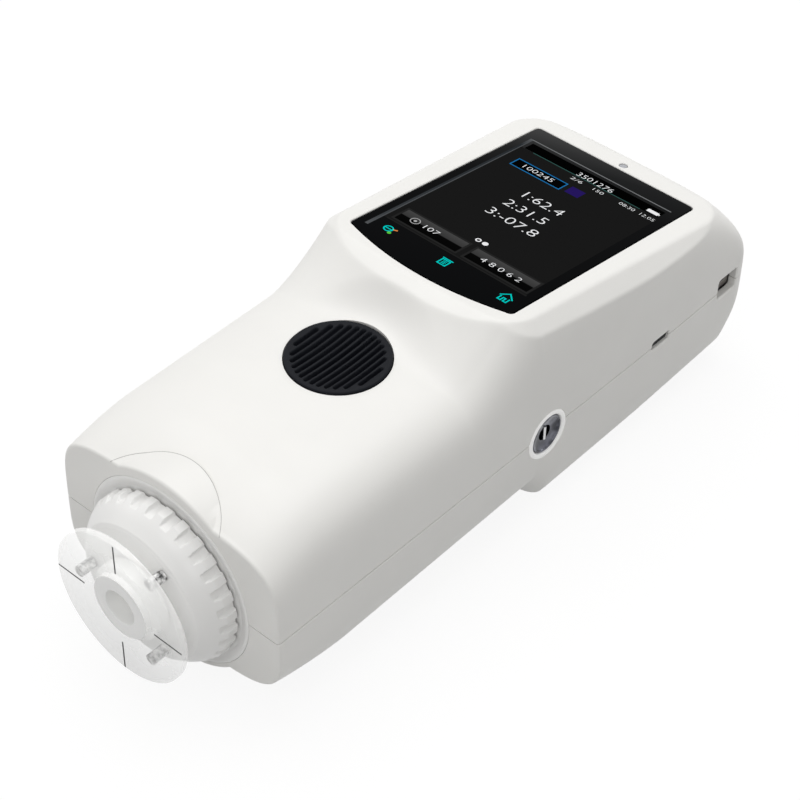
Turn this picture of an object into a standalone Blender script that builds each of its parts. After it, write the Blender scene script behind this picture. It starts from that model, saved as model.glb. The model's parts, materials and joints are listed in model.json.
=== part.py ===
"""A hand-held colorimeter: two housing halves, a tilted touch screen, a measuring button and an optics nose.

Lengths are in metres. Everything is first placed in the nose frame: its origin is the middle of the
locating plate's front face, X points to the instrument's right, Y from the nose to the rear and Z up.
The empty instrument_frame then carries the whole instrument to the middle of the part's own frame,
with the resting plane at Z = 0. The empty bezel_frame lies on the tilted bezel plane, with its own Y
running down the slope to the rear and its own Z out of the screen.
"""

import math

import bmesh
import bpy
from mathutils import Vector

# Clearances that every piece shares
GAP = 0.0003
OVERRUN = 0.004
BITE = 0.0008

# Housing, along the nose axis
NOSE_FACE_Y = 0.0173
BEZEL_Y = 0.1147
HEAD_LENGTH = 0.1016
REAR_Y = BEZEL_Y + HEAD_LENGTH
REST_DROP = 0.0295
PARTING_Z = 0.001
WALL = 0.0022
SEAM_STEP = 0.0004
SECTION_STEPS = 24
CAVITY_STEPS = 12
CAVITY_SPACING = 0.0030
FLOOR_SEAT = 0.0006
EDGE_RINGS = 3
DROP_RINGS = 4
HANDLE_RINGS = 4
SWEEP_RINGS = 7
HUMP_RINGS = 3
SCREEN_RINGS = 5
REAR_RINGS = 7
OUTLINE_ARC_STEPS = 6
OUTLINE_BOW_STEPS = 8

# Housing width
NOSE_HALF_WIDTH = 0.0383
WAIST_SWELL = 0.0011
WIDEST_HALF_WIDTH = NOSE_HALF_WIDTH + WAIST_SWELL
WIDEST_TO_REAR = 0.0503
WIDEST_Y = REAR_Y - WIDEST_TO_REAR
REAR_TAPER = 0.0005
REAR_HALF_WIDTH = WIDEST_HALF_WIDTH - REAR_TAPER
REAR_CORNER_RADIUS = 0.008

# Housing upper half
HANDLE_RISE = 0.0299
NOSE_DROP = 0.0049
NOSE_DROP_LENGTH = 0.020
NOSE_FILLET = 0.0016
SWEEP_START_Y = 0.088
SWEEP_LENGTH = 0.022
SWEEP_RISE = 0.0149
SWEEP_BOW = 0.003
SWEEP_BOW_HALF_WIDTH = 0.030
HEAD_BLANK_RISE = 0.049
HEAD_BLANK_REAR_RISE = 0.059
HEAD_LEAD = 0.0113
HEAD_Y = BEZEL_Y + HEAD_LEAD

# Housing lower half
KEEL_NOSE_DEPTH = 0.0230
KEEL_HANDLE_DEPTH = 0.0263
KEEL_HANDLE_REAR_DEPTH = 0.0237
KEEL_HUMP_DEPTH = 0.0307
KEEL_NOSE_LENGTH = 0.0245
HUMP_LEAD = 0.0026
HUMP_START_Y = BEZEL_Y + HUMP_LEAD
HUMP_LENGTH = 0.0052
HUMP_END_Y = HUMP_START_Y + HUMP_LENGTH

# Housing rear wall
BULGE_Z = 0.004
CROWN_RISE = 0.0212
CROWN_DEPTH = 0.0098
KEEL_REAR_DROP = 0.0333
KEEL_REAR_DEPTH = 0.0105
REAR_END_MARGIN = 0.0004

# Superellipse exponents of the sections, and the powers of the drops along the length
UPPER_EXPONENT = 4.5
KEEL_NOSE_EXPONENT = 4.1
KEEL_HANDLE_EXPONENT = 4.8
KEEL_HUMP_EXPONENT = 6.2
KEEL_REAR_EXPONENT = 4.6
NOSE_DROP_POWER = 1.6
SWEEP_POWER = 1.5

# Bezel plane and its chamfer
BEZEL_Z = 0.0401
BEZEL_TILT = math.radians(8.5)
BEZEL_FRONT = -0.0040
BEZEL_FRONT_BOW = 0.0023
BEZEL_REAR_LEDGE = 0.0127
BEZEL_REAR = HEAD_LENGTH - BEZEL_REAR_LEDGE
BEZEL_REAR_BOW = 0.0016
BEZEL_FRONT_INSET = 0.0055
BEZEL_FRONT_HALF_WIDTH = NOSE_HALF_WIDTH - BEZEL_FRONT_INSET
BEZEL_REAR_INSET = 0.0033
BEZEL_REAR_HALF_WIDTH = REAR_HALF_WIDTH - BEZEL_REAR_INSET
BEZEL_CORNER_RADIUS = 0.008
CHAMFER_REACH = 0.009
CHAMFER_SIDE_SLOPE = 0.95
CHAMFER_FRONT_SLOPE = 0.43
CHAMFER_REAR_SLOPE = 0.55
BLANK_CLEAR = 0.030
ROOF = 0.0030
ROOF_LEAN_Y = 0.0010

# Glass, screen and indicator, in the bezel frame
GLASS_INSET = 0.0044
GLASS_HALF_WIDTH = BEZEL_FRONT_HALF_WIDTH - GLASS_INSET
GLASS_FRONT = 0.0001
GLASS_REAR_INSET = 0.0054
GLASS_REAR = BEZEL_REAR - GLASS_REAR_INSET
GLASS_BOW = 0.0044
GLASS_CORNER_RADIUS = 0.0015
GLASS_THICKNESS = 0.0011
GLASS_SINK = 0.0001
GLASS_LEDGE = 0.0022
WINDOW_HALF_WIDTH = GLASS_HALF_WIDTH - GLASS_LEDGE
WINDOW_FRONT = 0.0030
GLASS_REAR_LEDGE = 0.0025
WINDOW_REAR = GLASS_REAR - GLASS_REAR_LEDGE
DISPLAY_THICKNESS = 0.0030
FRAME_LEDGE = 0.0018
FRAME_HALF_WIDTH = WINDOW_HALF_WIDTH + FRAME_LEDGE
FRAME_FRONT = 0.0008
FRAME_REAR_LEDGE = 0.0016
FRAME_REAR = WINDOW_REAR + FRAME_REAR_LEDGE
FRAME_DEPTH = 0.0036
FRAME_RAIL = 0.0080
FRAME_VENT_HALF_WIDTH = FRAME_HALF_WIDTH - FRAME_RAIL
INDICATOR_INSET = 0.0028
INDICATOR_X = 0.0012
INDICATOR_S = BEZEL_REAR - INDICATOR_INSET
INDICATOR_RADIUS = 0.0012
INDICATOR_LENGTH = 0.0034
INDICATOR_STEPS = 16

# Collar
COLLAR_RADIUS = 0.0280
COLLAR_PROUD = 0.0002
COLLAR_RIM = 0.0009
COLLAR_DEPTH = 0.0062
COLLAR_FLANGE = 0.0034
COLLAR_BORE_RADIUS = 0.0152
COLLAR_WALL = 0.0024
COLLAR_RECESS_RADIUS = COLLAR_RADIUS - COLLAR_WALL
COLLAR_STEPS = 64

# Round bosses of the front face
TOP_BOSS_RIM = 0.0030
TOP_BOSS_RADIUS = COLLAR_RADIUS + TOP_BOSS_RIM
TOP_BOSS_PLAN_RADIUS = 0.0226
TOP_BOSS_PLAN_Y = 0.0053
TOP_BOSS_Z = 0.012
LOW_BOSS_FADE_Y = 0.037
LOW_BOSS_FLAT = 0.007
LOW_BOSS_FADE_RADIUS = 0.0225
BOSS_EDGE = 0.0009
BOSS_STEPS = 56

# Collar's neck and the housing's inside behind it
NECK_HOLE_RADIUS = 0.0160
CAVITY_FRONT_Y = 0.0262

# Aperture drum
DRUM_FACE_Y = 0.0070
DRUM_BAND_Y = 0.0128
DRUM_CLEAR = 0.0009
DRUM_BAND_RADIUS = COLLAR_RECESS_RADIUS - DRUM_CLEAR
DRUM_CONE = 0.0047
DRUM_FACE_RADIUS = DRUM_BAND_RADIUS - DRUM_CONE
DRUM_REAR_Y = 0.0171
DRUM_SHOULDER = 0.0006
DRUM_NECK_RADIUS = 0.0138
DRUM_NECK_Y = 0.0238
DRUM_BORE_RADIUS = 0.0066
DRUM_REAR_BORE_RADIUS = 0.0112
SCALLOP_COUNT = 28
SCALLOP_RADIUS = 0.0018
SCALLOP_DEPTH = 0.0010
SCALLOP_SIDES = 8
DRUM_STEPS = 84

# Locating plate and hub
PLATE_RADIUS = 0.0225
PLATE_THICKNESS = 0.0020
PLATE_STEPS = 56
POST_RING_INSET = 0.0031
POST_RING_RADIUS = DRUM_FACE_RADIUS - POST_RING_INSET
POST_RADIUS = 0.0016
POST_ENTRY = 0.0010
POST_ANGLES = (math.radians(182), math.radians(55), math.radians(298))
POST_STEPS = 12
HUB_POST_CLEAR = 0.0059
HUB_RADIUS = POST_RING_RADIUS - HUB_POST_CLEAR
HUB_LAND = 0.0016
HUB_SPIGOT_RADIUS = HUB_RADIUS - HUB_LAND
APERTURE_WALL = 0.0043
APERTURE_RADIUS = HUB_SPIGOT_RADIUS - APERTURE_WALL
APERTURE_FLARE = 0.0009
HUB_STEPS = 32

# Measuring button and what is under it
SPHERE_Y = 0.0475
SPHERE_FLOOR_CLEAR = 0.0053
SPHERE_RADIUS = KEEL_HANDLE_DEPTH - SPHERE_FLOOR_CLEAR
BUTTON_FROM_SPHERE = 0.0114
BUTTON_Y = SPHERE_Y + SPHERE_RADIUS + BUTTON_FROM_SPHERE
BUTTON_RADIUS = 0.0142
BUTTON_TOP_Z = 0.0315
BUTTON_EDGE = 0.0005
BUTTON_FLANGE_RADIUS = 0.0155
BUTTON_FLANGE = 0.0014
BUTTON_STEM_RADIUS = 0.0030
BUTTON_STEM_LENGTH = 0.0012
BUTTON_TRAVEL = 0.0012
BUTTON_STEPS = 40
GROOVE_COUNT = 13
GROOVE_PITCH = 0.0019
GROOVE_WIDTH = 0.0010
GROOVE_DEPTH = 0.0007
GROOVE_MARGIN = 0.0011
GUIDE_WALL = 0.0013
GUIDE_FLOOR = 0.0015
GUIDE_HEIGHT = 0.0110
GUIDE_STEPS = 32
SWITCH_BOARD_RADIUS = 0.0120
SWITCH_BOARD_THICKNESS = 0.0012
SWITCH_SIDE = 0.0060
SPRING_RADIUS = 0.0082
SPRING_WIRE_RADIUS = 0.00045
SPRING_TURNS = 3.5
SPRING_TURN_POINTS = 12

# Optics
SPHERE_WALL = 0.0024
SPHERE_RINGS = 6
SPHERE_STEPS = 24
SPHERE_NECK_RADIUS = 0.0120
SPHERE_NECK_Y = 0.0243
SPHERE_NECK_BORE = 0.0080
SPHERE_PORT_RADIUS = 0.0045
SPHERE_SOCKET_RADIUS = 0.0082
SPHERE_SOCKET_BORE = 0.0068
SPHERE_SOCKET_LENGTH = 0.0037
SPHERE_SOCKET_Y = SPHERE_Y + SPHERE_RADIUS + SPHERE_SOCKET_LENGTH
LAMP_LEAD = 0.0090
LAMP_BOSS_Y = SPHERE_Y - LAMP_LEAD
LAMP_BOSS_RADIUS = 0.0062
LAMP_BOSS_RISE = 0.0006
LAMP_BOSS_Z = SPHERE_RADIUS + LAMP_BOSS_RISE
LAMP_PORT_RADIUS = 0.0032
LAMP_RADIUS = 0.0026
LAMP_LENGTH = 0.0042
LAMP_BOARD_SIDE = 0.0150
LAMP_BOARD_THICKNESS = 0.0012
TUBE_RADIUS = 0.0065
TUBE_BORE = 0.0050
TUBE_STAND_OFF = 0.0020
TUBE_START_Y = SPHERE_Y + SPHERE_RADIUS + TUBE_STAND_OFF
TUBE_LENGTH = 0.0117
TUBE_END_Y = TUBE_START_Y + TUBE_LENGTH
TUBE_FLANGE_RADIUS = 0.0090
TUBE_FLANGE = 0.0015
TUBE_STOP_RADIUS = 0.0036
TUBE_STOP = 0.0015
TUBE_STEPS = 24
LENS_THICKNESS = 0.0018
LENS_CROWN = 0.0008
LENS_RINGS = 3
SENSOR_HALF_WIDTH = 0.0130
SENSOR_HALF_HEIGHT = 0.0125
SENSOR_LENGTH = 0.0160
SENSOR_WINDOW_RADIUS = 0.0040
SENSOR_WINDOW_DEPTH = 0.0030
SENSOR_BOARD_MARGIN = 0.0025
BOARD_THICKNESS = 0.0016
CRADLE_HALF_WIDTH = 0.0150
CRADLE_HALF_LENGTH = 0.0115
CRADLE_FRONT_Y = SPHERE_Y - CRADLE_HALF_LENGTH
CRADLE_REAR_Y = SPHERE_Y + CRADLE_HALF_LENGTH
CRADLE_WRAP = 0.0110
CRADLE_TOP_Z = CRADLE_WRAP - SPHERE_RADIUS
BRACKET_HALF_WIDTH = 0.0110
BRACKET_LEAD = 0.0028
BRACKET_FRONT_Y = TUBE_END_Y + BRACKET_LEAD
BRACKET_LENGTH = 0.0110
BRACKET_REAR_Y = BRACKET_FRONT_Y + BRACKET_LENGTH

# Boards, battery and connector in the rear hump
BOARD_INSET = 0.0064
BOARD_HALF_WIDTH = WIDEST_HALF_WIDTH - BOARD_INSET
BOARD_LEAD = 0.0153
BOARD_FRONT_Y = BEZEL_Y + BOARD_LEAD
BOARD_TO_REAR = 0.0368
BOARD_REAR_Y = REAR_Y - BOARD_TO_REAR
BOARD_Z = -0.0020
BOARD_POST_INSET = 0.0050
BOARD_POST_EDGE = 0.0045
BOARD_POST_X = BOARD_HALF_WIDTH - BOARD_POST_EDGE
BOARD_POST_RADIUS = 0.0028
BOARD_HOLE_RADIUS = 0.0014
BOARD_SCREW_RADIUS = 0.0010
BOARD_SCREW_HEAD_RADIUS = 0.0020
BOARD_SCREW_HEAD = 0.0012
BOARD_SCREW_LENGTH = 0.0060
BOARD_PILOT_RADIUS = 0.0013
BOARD_PILOT_DEPTH = 0.0080
CHIP_SIDE = 0.0140
CHIP_THICKNESS = 0.0014
CHIP_LEAD = 0.0230
CHIP_Y = BOARD_FRONT_Y + CHIP_LEAD
BUZZER_RADIUS = 0.0060
BUZZER_HEIGHT = 0.0035
BUZZER_EDGE = 0.0140
BUZZER_X = BUZZER_EDGE - BOARD_HALF_WIDTH
BUZZER_REAR_EDGE = 0.0155
BUZZER_Y = BOARD_REAR_Y - BUZZER_REAR_EDGE
BUZZER_HOLE_RADIUS = 0.0010
BATTERY_POST_CLEAR = 0.0045
BATTERY_HALF_WIDTH = BOARD_POST_X - BATTERY_POST_CLEAR
BATTERY_LEAD = 0.0055
BATTERY_FRONT_Y = BOARD_FRONT_Y + BATTERY_LEAD
BATTERY_OVERHANG = 0.0020
BATTERY_REAR_Y = BOARD_REAR_Y + BATTERY_OVERHANG
BATTERY_HEIGHT = 0.0145
BATTERY_EDGE = 0.0020
BATTERY_EDGE_SEGMENTS = 2
CLAMP_THICKNESS = 0.0012
CLAMP_LEAD = 0.0125
CLAMP_FRONT_Y = BATTERY_FRONT_Y + CLAMP_LEAD
CLAMP_WIDTH = 0.0120
CLAMP_REAR_Y = CLAMP_FRONT_Y + CLAMP_WIDTH
CLAMP_LEG_LIFT = 0.0006
PORT_TO_REAR = 0.0128
PORT_Y = REAR_Y - PORT_TO_REAR
PORT_Z = 0.0020
PORT_HALF_WIDTH = 0.0045
PORT_HALF_HEIGHT = 0.0035
CONNECTOR_HALF_WIDTH = 0.0037
CONNECTOR_HEIGHT = 0.0032
CONNECTOR_LENGTH = 0.0080
CONNECTOR_INSET = 0.0037
CONNECTOR_OUTER_X = REAR_HALF_WIDTH - CONNECTOR_INSET
CONNECTOR_WALL = 0.0004
CONNECTOR_DEPTH = 0.0065
CONNECTOR_TONGUE = 0.0008
PORT_BOARD_LENGTH = 0.0127
PORT_BOARD_X = CONNECTOR_OUTER_X - PORT_BOARD_LENGTH
PORT_BOARD_HALF_WIDTH = 0.0046
PORT_POST_RADIUS = 0.0035
SIDE_SLOT_TO_REAR = 0.0453
SIDE_SLOT_Y = REAR_Y - SIDE_SLOT_TO_REAR
SIDE_SLOT_HALF_WIDTH = 0.0040
SIDE_SLOT_RISE = 0.0017
SIDE_SLOT_DROP = 0.0012
SIDE_SLOT_DEPTH = 0.0015

# Strap anchor in the right side
ANCHOR_LEAD = 0.0060
ANCHOR_Y = BEZEL_Y + ANCHOR_LEAD
ANCHOR_Z = 0.0
ANCHOR_RADIUS = 0.0060
ANCHOR_LIP_RADIUS = 0.0078
ANCHOR_LIP_PROUD = 0.0003
ANCHOR_FACE_INSET = 0.0007
ANCHOR_FACE_X = WIDEST_HALF_WIDTH - ANCHOR_FACE_INSET
ANCHOR_LENGTH = 0.0050
ANCHOR_DISH_RADIUS = 0.0052
ANCHOR_DISH_DEPTH = 0.0040
ANCHOR_BAR_RADIUS = 0.0009
ANCHOR_BAR_SINK = 0.0016
ANCHOR_SEAT = 0.0018
ANCHOR_STEPS = 32
ANCHOR_DISH_RINGS = 4

# Housing screws
SCREW_FRONT_INSET = 0.0083
SCREW_FRONT_X = NOSE_HALF_WIDTH - SCREW_FRONT_INSET
SCREW_FRONT_Y = 0.0335
SCREW_REAR_INSET = 0.0057
SCREW_REAR_X = REAR_HALF_WIDTH - SCREW_REAR_INSET
SCREW_TO_REAR = 0.0293
SCREW_REAR_Y = REAR_Y - SCREW_TO_REAR
SCREW_SEAT_Z = -0.0140
SCREW_HEAD_RADIUS = 0.0024
SCREW_HEAD = 0.0018
SCREW_RADIUS = 0.0012
SCREW_LENGTH = 0.0220
SCREW_SOCKET_RADIUS = 0.0011
SCREW_SOCKET_DEPTH = 0.0010
SCREW_WELL_RADIUS = 0.0028
SCREW_HOLE_RADIUS = 0.0015
SCREW_BOSS_RADIUS = 0.0042
SCREW_TOP_BOSS_RADIUS = 0.0036
SCREW_TOP_BOSS_Z = 0.0270
SCREW_STEPS = 12
BOSS_POST_STEPS = 16
HOLE_STEPS = 32

# Turns that lay a shape's own Z along another axis
ALONG_Y = (-math.pi / 2, 0, 0)
ALONG_X = (0, math.pi / 2, 0)
UPRIGHT = (0, 0, 0)

HALF_GAP = GAP / 2
MERGE = 0.00001
OBJECT_NAME = "colorimeter"


# Scene, collections and materials


def clear_scene():
    for obj in list(bpy.data.objects):
        bpy.data.objects.remove(obj, do_unlink=True)


def new_collection(name, helper=False):
    collection = bpy.data.collections.new(name)
    bpy.context.scene.collection.children.link(collection)
    collection.hide_render = helper
    return collection


def new_empty(name, location, rotation, parent, collection):
    empty = bpy.data.objects.new(name, None)
    empty.location = location
    empty.rotation_euler = rotation
    empty.parent = parent
    collection.objects.link(empty)
    return empty


def principled(name, colour, roughness, metallic=0.0, transmission=0.0, ior=1.49):
    material = bpy.data.materials.new(name)
    material.use_nodes = True
    shader = material.node_tree.nodes["Principled BSDF"]
    shader.inputs["Base Color"].default_value = (*colour, 1)
    shader.inputs["Roughness"].default_value = roughness
    shader.inputs["Metallic"].default_value = metallic
    shader.inputs["Transmission Weight"].default_value = transmission
    shader.inputs["IOR"].default_value = ior
    return material


def make_materials():
    return {
        "shell": principled("warm white case plastic", (0.86, 0.86, 0.84), 0.38),
        "white": principled("white moulded plastic", (0.88, 0.88, 0.87), 0.32),
        "clear": principled("clear acrylic", (0.95, 0.96, 0.96), 0.05, transmission=0.9),
        "glass": principled("black cover glass", (0.012, 0.013, 0.016), 0.06),
        "screen": principled("display panel", (0.02, 0.02, 0.024), 0.2),
        "button": principled("dark button rubber", (0.016, 0.019, 0.026), 0.42),
        "black": principled("black moulded plastic", (0.03, 0.03, 0.032), 0.5),
        "grey": principled("grey moulded plastic", (0.35, 0.36, 0.37), 0.5),
        "board": principled("green circuit board", (0.02, 0.16, 0.07), 0.45),
        "steel": principled("bright steel", (0.62, 0.62, 0.63), 0.28, metallic=1.0),
        "chrome": principled("polished chrome", (0.80, 0.81, 0.83), 0.10, metallic=1.0),
        "cell": principled("battery wrap", (0.05, 0.10, 0.30), 0.45),
        "alloy": principled("anodised alloy", (0.10, 0.10, 0.11), 0.45, metallic=0.8),
        "barium": principled("matt white coating", (0.92, 0.92, 0.91), 0.9),
        "amber": principled("indicator window", (0.62, 0.64, 0.66), 0.25),
        "optic": principled("lens glass", (0.96, 0.97, 0.98), 0.02, transmission=1.0, ior=1.52),
    }


# Shapes


class Workshop:
    """Makes objects in one collection for parts and one for the shapes that cut or join them."""

    def __init__(self):
        self.parts = new_collection(OBJECT_NAME)
        self.helpers = new_collection("shaping", helper=True)
        root_place = (0, -(REAR_Y - REAR_END_MARGIN) / 2, REST_DROP)
        self.root = new_empty("instrument_frame", root_place, UPRIGHT, None, self.parts)
        bezel_place = (0, BEZEL_Y, BEZEL_Z)
        self.bezel = new_empty("bezel_frame", bezel_place, (-BEZEL_TILT, 0, 0), self.root, self.parts)
        self.materials = make_materials()

    def add(self, name, mesh, location=(0, 0, 0), rotation=UPRIGHT, material=None, parent=None):
        """Adds a part where a material is given, and otherwise a shape that cuts or joins."""
        obj = bpy.data.objects.new(name, mesh)
        obj.location = location
        obj.rotation_euler = rotation
        obj.parent = parent or self.root
        if material:
            self.parts.objects.link(obj)
            mesh.materials.clear()
            mesh.materials.append(self.materials[material])
        else:
            self.helpers.objects.link(obj)
            obj.hide_render = True
            obj.display_type = "WIRE"
        return obj

    def box(self, name, low, high, material=None, parent=None):
        """A box between two corners, with its origin in its middle."""
        low, high = Vector(low), Vector(high)
        mesh = bpy.data.meshes.new(name)
        shape = bmesh.new()
        bmesh.ops.create_cube(shape, size=1)
        bmesh.ops.scale(shape, vec=high - low, verts=shape.verts)
        shape.to_mesh(mesh)
        shape.free()
        return self.add(name, mesh, (low + high) / 2, material=material, parent=parent)

    def rod(self, name, radius, length, base, rotation=UPRIGHT, steps=HOLE_STEPS, material=None, parent=None):
        """A cylinder that starts at its base and runs along its own Z."""
        mesh = bpy.data.meshes.new(name)
        shape = bmesh.new()
        bmesh.ops.create_cone(
            shape, cap_ends=True, segments=steps, radius1=radius, radius2=radius, depth=length
        )
        bmesh.ops.translate(shape, vec=(0, 0, length / 2), verts=shape.verts)
        shape.to_mesh(mesh)
        shape.free()
        obj = self.add(name, mesh, base, rotation, material, parent)
        if material:
            shade_round(obj)
        return obj

    def turned(self, name, profile, base, rotation=UPRIGHT, steps=48, material=None, closed=True, parent=None):
        """A profile of (radius, height) points turned about its own Z."""
        mesh = bpy.data.meshes.new(name)
        count = len(profile)
        edges = [(i, i + 1) for i in range(count - 1)]
        if closed:
            edges.append((count - 1, 0))
        mesh.from_pydata([(radius, 0, height) for radius, height in profile], edges, [])
        obj = self.add(name, mesh, base, rotation, material, parent)
        screw = obj.modifiers.new("turn", "SCREW")
        screw.axis = "Z"
        screw.angle = 2 * math.pi
        screw.steps = steps
        screw.render_steps = steps
        screw.use_merge_vertices = True
        screw.merge_threshold = MERGE
        screw.use_smooth_shade = True
        return obj

    def plate(self, name, outline, low, high, material=None, parent=None):
        """A flat outline of (x, y) points, filled and extruded between two heights."""
        curve = bpy.data.curves.new(name, "CURVE")
        curve.dimensions = "2D"
        curve.fill_mode = "BOTH"
        curve.extrude = (high - low) / 2
        spline = curve.splines.new("POLY")
        spline.points.add(len(outline) - 1)
        for point, (x, y) in zip(spline.points, outline):
            point.co = (x, y, 0, 1)
        spline.use_cyclic_u = True
        return self.from_curve(name, curve, (0, 0, (low + high) / 2), material, parent)

    def from_curve(self, name, curve, location=(0, 0, 0), material=None, parent=None):
        """A mesh object with the shape of a curve, so that a Boolean can use it."""
        drawn = bpy.data.objects.new(name + "_curve", curve)
        bpy.context.scene.collection.objects.link(drawn)
        graph = bpy.context.evaluated_depsgraph_get()
        mesh = bpy.data.meshes.new_from_object(drawn.evaluated_get(graph))
        bpy.data.objects.remove(drawn, do_unlink=True)
        mesh.name = name
        shape = bmesh.new()
        shape.from_mesh(mesh)
        bmesh.ops.remove_doubles(shape, verts=shape.verts, dist=MERGE)
        bmesh.ops.recalc_face_normals(shape, faces=shape.faces)
        shape.to_mesh(mesh)
        shape.free()
        return self.add(name, mesh, location, material=material, parent=parent)

    def loft(self, name, rings, material=None, parent=None):
        """Closed rings of points with the same count, joined by strips of faces and closed at both ends."""
        mesh = bpy.data.meshes.new(name)
        shape = bmesh.new()
        loops = [[shape.verts.new(point) for point in ring] for ring in rings]
        count = len(loops[0])
        for near, far in zip(loops, loops[1:]):
            for i in range(count):
                j = (i + 1) % count
                shape.faces.new((near[i], near[j], far[j], far[i]))
        shape.faces.new(loops[0])
        shape.faces.new(loops[-1])
        bmesh.ops.recalc_face_normals(shape, faces=shape.faces)
        shape.to_mesh(mesh)
        shape.free()
        return self.add(name, mesh, material=material, parent=parent)


def boolean(obj, other, operation):
    modifier = obj.modifiers.new(operation.lower() + "_" + other.name, "BOOLEAN")
    modifier.operation = operation
    modifier.solver = "EXACT"
    modifier.object = other


def cut(obj, *cutters):
    for cutter in cutters:
        boolean(obj, cutter, "DIFFERENCE")


def join(obj, *others):
    for other in others:
        boolean(obj, other, "UNION")


def shade_round(obj, angle=math.radians(32)):
    for polygon in obj.data.polygons:
        polygon.use_smooth = True
    obj.data.set_sharp_from_angle(angle=angle)


def span(start, end, steps):
    """Places from start to just before end, evenly spaced."""
    return [start + (end - start) * i / steps for i in range(steps)]


def blend(value, start, end):
    """How far value lies between start and end, from 0 to 1."""
    return min(max((value - start) / (end - start), 0), 1)


def smooth(share):
    return share * share * (3 - 2 * share)


def mix(first, second, share):
    return first + (second - first) * share


# Housing form


def half_width(y):
    """Half of the housing's width at the parting line."""
    if y <= WIDEST_Y:
        width = mix(NOSE_HALF_WIDTH, WIDEST_HALF_WIDTH, blend(y, NOSE_FACE_Y, WIDEST_Y))
    else:
        width = mix(WIDEST_HALF_WIDTH, REAR_HALF_WIDTH, blend(y, WIDEST_Y, REAR_Y - REAR_CORNER_RADIUS))
    past = max(y - (REAR_Y - REAR_CORNER_RADIUS), 0)
    return width - REAR_CORNER_RADIUS + math.sqrt(REAR_CORNER_RADIUS**2 - past**2)


def sweep(y):
    """Extra height of the concave brow between the handle and the head."""
    past = max(y - SWEEP_START_Y, 0)
    return SWEEP_RISE * (past / SWEEP_LENGTH) ** SWEEP_POWER


def upper_rise(y, x, inset):
    """Height of the upper half above the parting line, before the bezel is cut."""
    bow = SWEEP_BOW * min(abs(x) / SWEEP_BOW_HALF_WIDTH, 1) ** 2
    lean = ROOF_LEAN_Y if inset else 0
    drop = NOSE_DROP * (1 - blend(y, NOSE_FACE_Y, NOSE_FACE_Y + NOSE_DROP_LENGTH)) ** NOSE_DROP_POWER
    blank = mix(HEAD_BLANK_RISE, HEAD_BLANK_REAR_RISE, blend(y, HEAD_Y, REAR_Y))
    rise = min(HANDLE_RISE - drop + sweep(y - bow - lean), blank)
    crown = BULGE_Z - PARTING_Z + CROWN_RISE * math.sqrt(max(REAR_Y - y - inset, 0) / CROWN_DEPTH)
    return min(rise, crown) - inset


def keel_depth(y, inset):
    """Depth of the lower half below the parting line."""
    nose = 1 - (1 - blend(y, NOSE_FACE_Y, NOSE_FACE_Y + KEEL_NOSE_LENGTH)) ** 2
    depth = mix(KEEL_NOSE_DEPTH, KEEL_HANDLE_DEPTH, nose)
    taper = blend(y, NOSE_FACE_Y + KEEL_NOSE_LENGTH, HUMP_START_Y)
    depth += (KEEL_HANDLE_REAR_DEPTH - KEEL_HANDLE_DEPTH) * taper
    depth = mix(depth, KEEL_HUMP_DEPTH, blend(y, HUMP_START_Y, HUMP_END_Y))
    rear = PARTING_Z - BULGE_Z + KEEL_REAR_DROP * math.sqrt(max(REAR_Y - y - inset, 0) / KEEL_REAR_DEPTH)
    return min(depth, rear) - inset


def keel_exponent(y):
    nose = blend(y, NOSE_FACE_Y, NOSE_FACE_Y + KEEL_NOSE_LENGTH)
    handle = mix(KEEL_NOSE_EXPONENT, KEEL_HANDLE_EXPONENT, nose)
    rear = mix(KEEL_HUMP_EXPONENT, KEEL_REAR_EXPONENT, blend(y, HUMP_END_Y, REAR_Y))
    return mix(handle, rear, smooth(blend(y, HUMP_START_Y, HUMP_END_Y)))


def corner(angle, width, exponent):
    """Across and up shares of a superellipse at an angle from 0 to pi."""
    across = math.copysign(abs(math.cos(angle)) ** (2 / exponent), math.cos(angle))
    return width * across, max(math.sin(angle), 0) ** (2 / exponent)


def roof_z(y):
    return BEZEL_Z - math.tan(BEZEL_TILT) * (y - BEZEL_Y)


def ceiling(x, y):
    """The cavity's highest place under the bezel and its chamfers."""
    bezel_half = mix(
        BEZEL_FRONT_HALF_WIDTH, BEZEL_REAR_HALF_WIDTH, blend(y, BEZEL_Y + BEZEL_FRONT, BEZEL_Y + BEZEL_REAR)
    )
    side = max(abs(x) - bezel_half + WALL / 2, 0)
    front = min(max(BEZEL_Y + BEZEL_FRONT - y, 0), CHAMFER_REACH)
    return roof_z(y) - ROOF - CHAMFER_SIDE_SLOPE * side - CHAMFER_FRONT_SLOPE * front


def upper_points(y, inset, steps):
    """Points over the top of one section, from the right side to the left."""
    width = half_width(y + inset * (y > WIDEST_Y)) - inset
    points = []
    for i in range(steps + 1):
        x, share = corner(math.pi * i / steps, width, UPPER_EXPONENT)
        z = PARTING_Z + max(upper_rise(y, x, inset) * share, HALF_GAP)
        if inset > WALL / 2:
            z = min(z, ceiling(x, y))
        points.append((x, y, z))
    return points


def lower_points(y, inset, steps):
    """Points round the bottom of one section, from the left side to the right."""
    width = half_width(y + inset * (y > WIDEST_Y)) - inset
    points = []
    for i in range(steps + 1):
        x, share = corner(math.pi - math.pi * i / steps, width, keel_exponent(y))
        z = PARTING_Z - max(keel_depth(y, inset) * share, HALF_GAP)
        points.append((x, y, max(z, inset - REST_DROP)))
    return points


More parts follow.
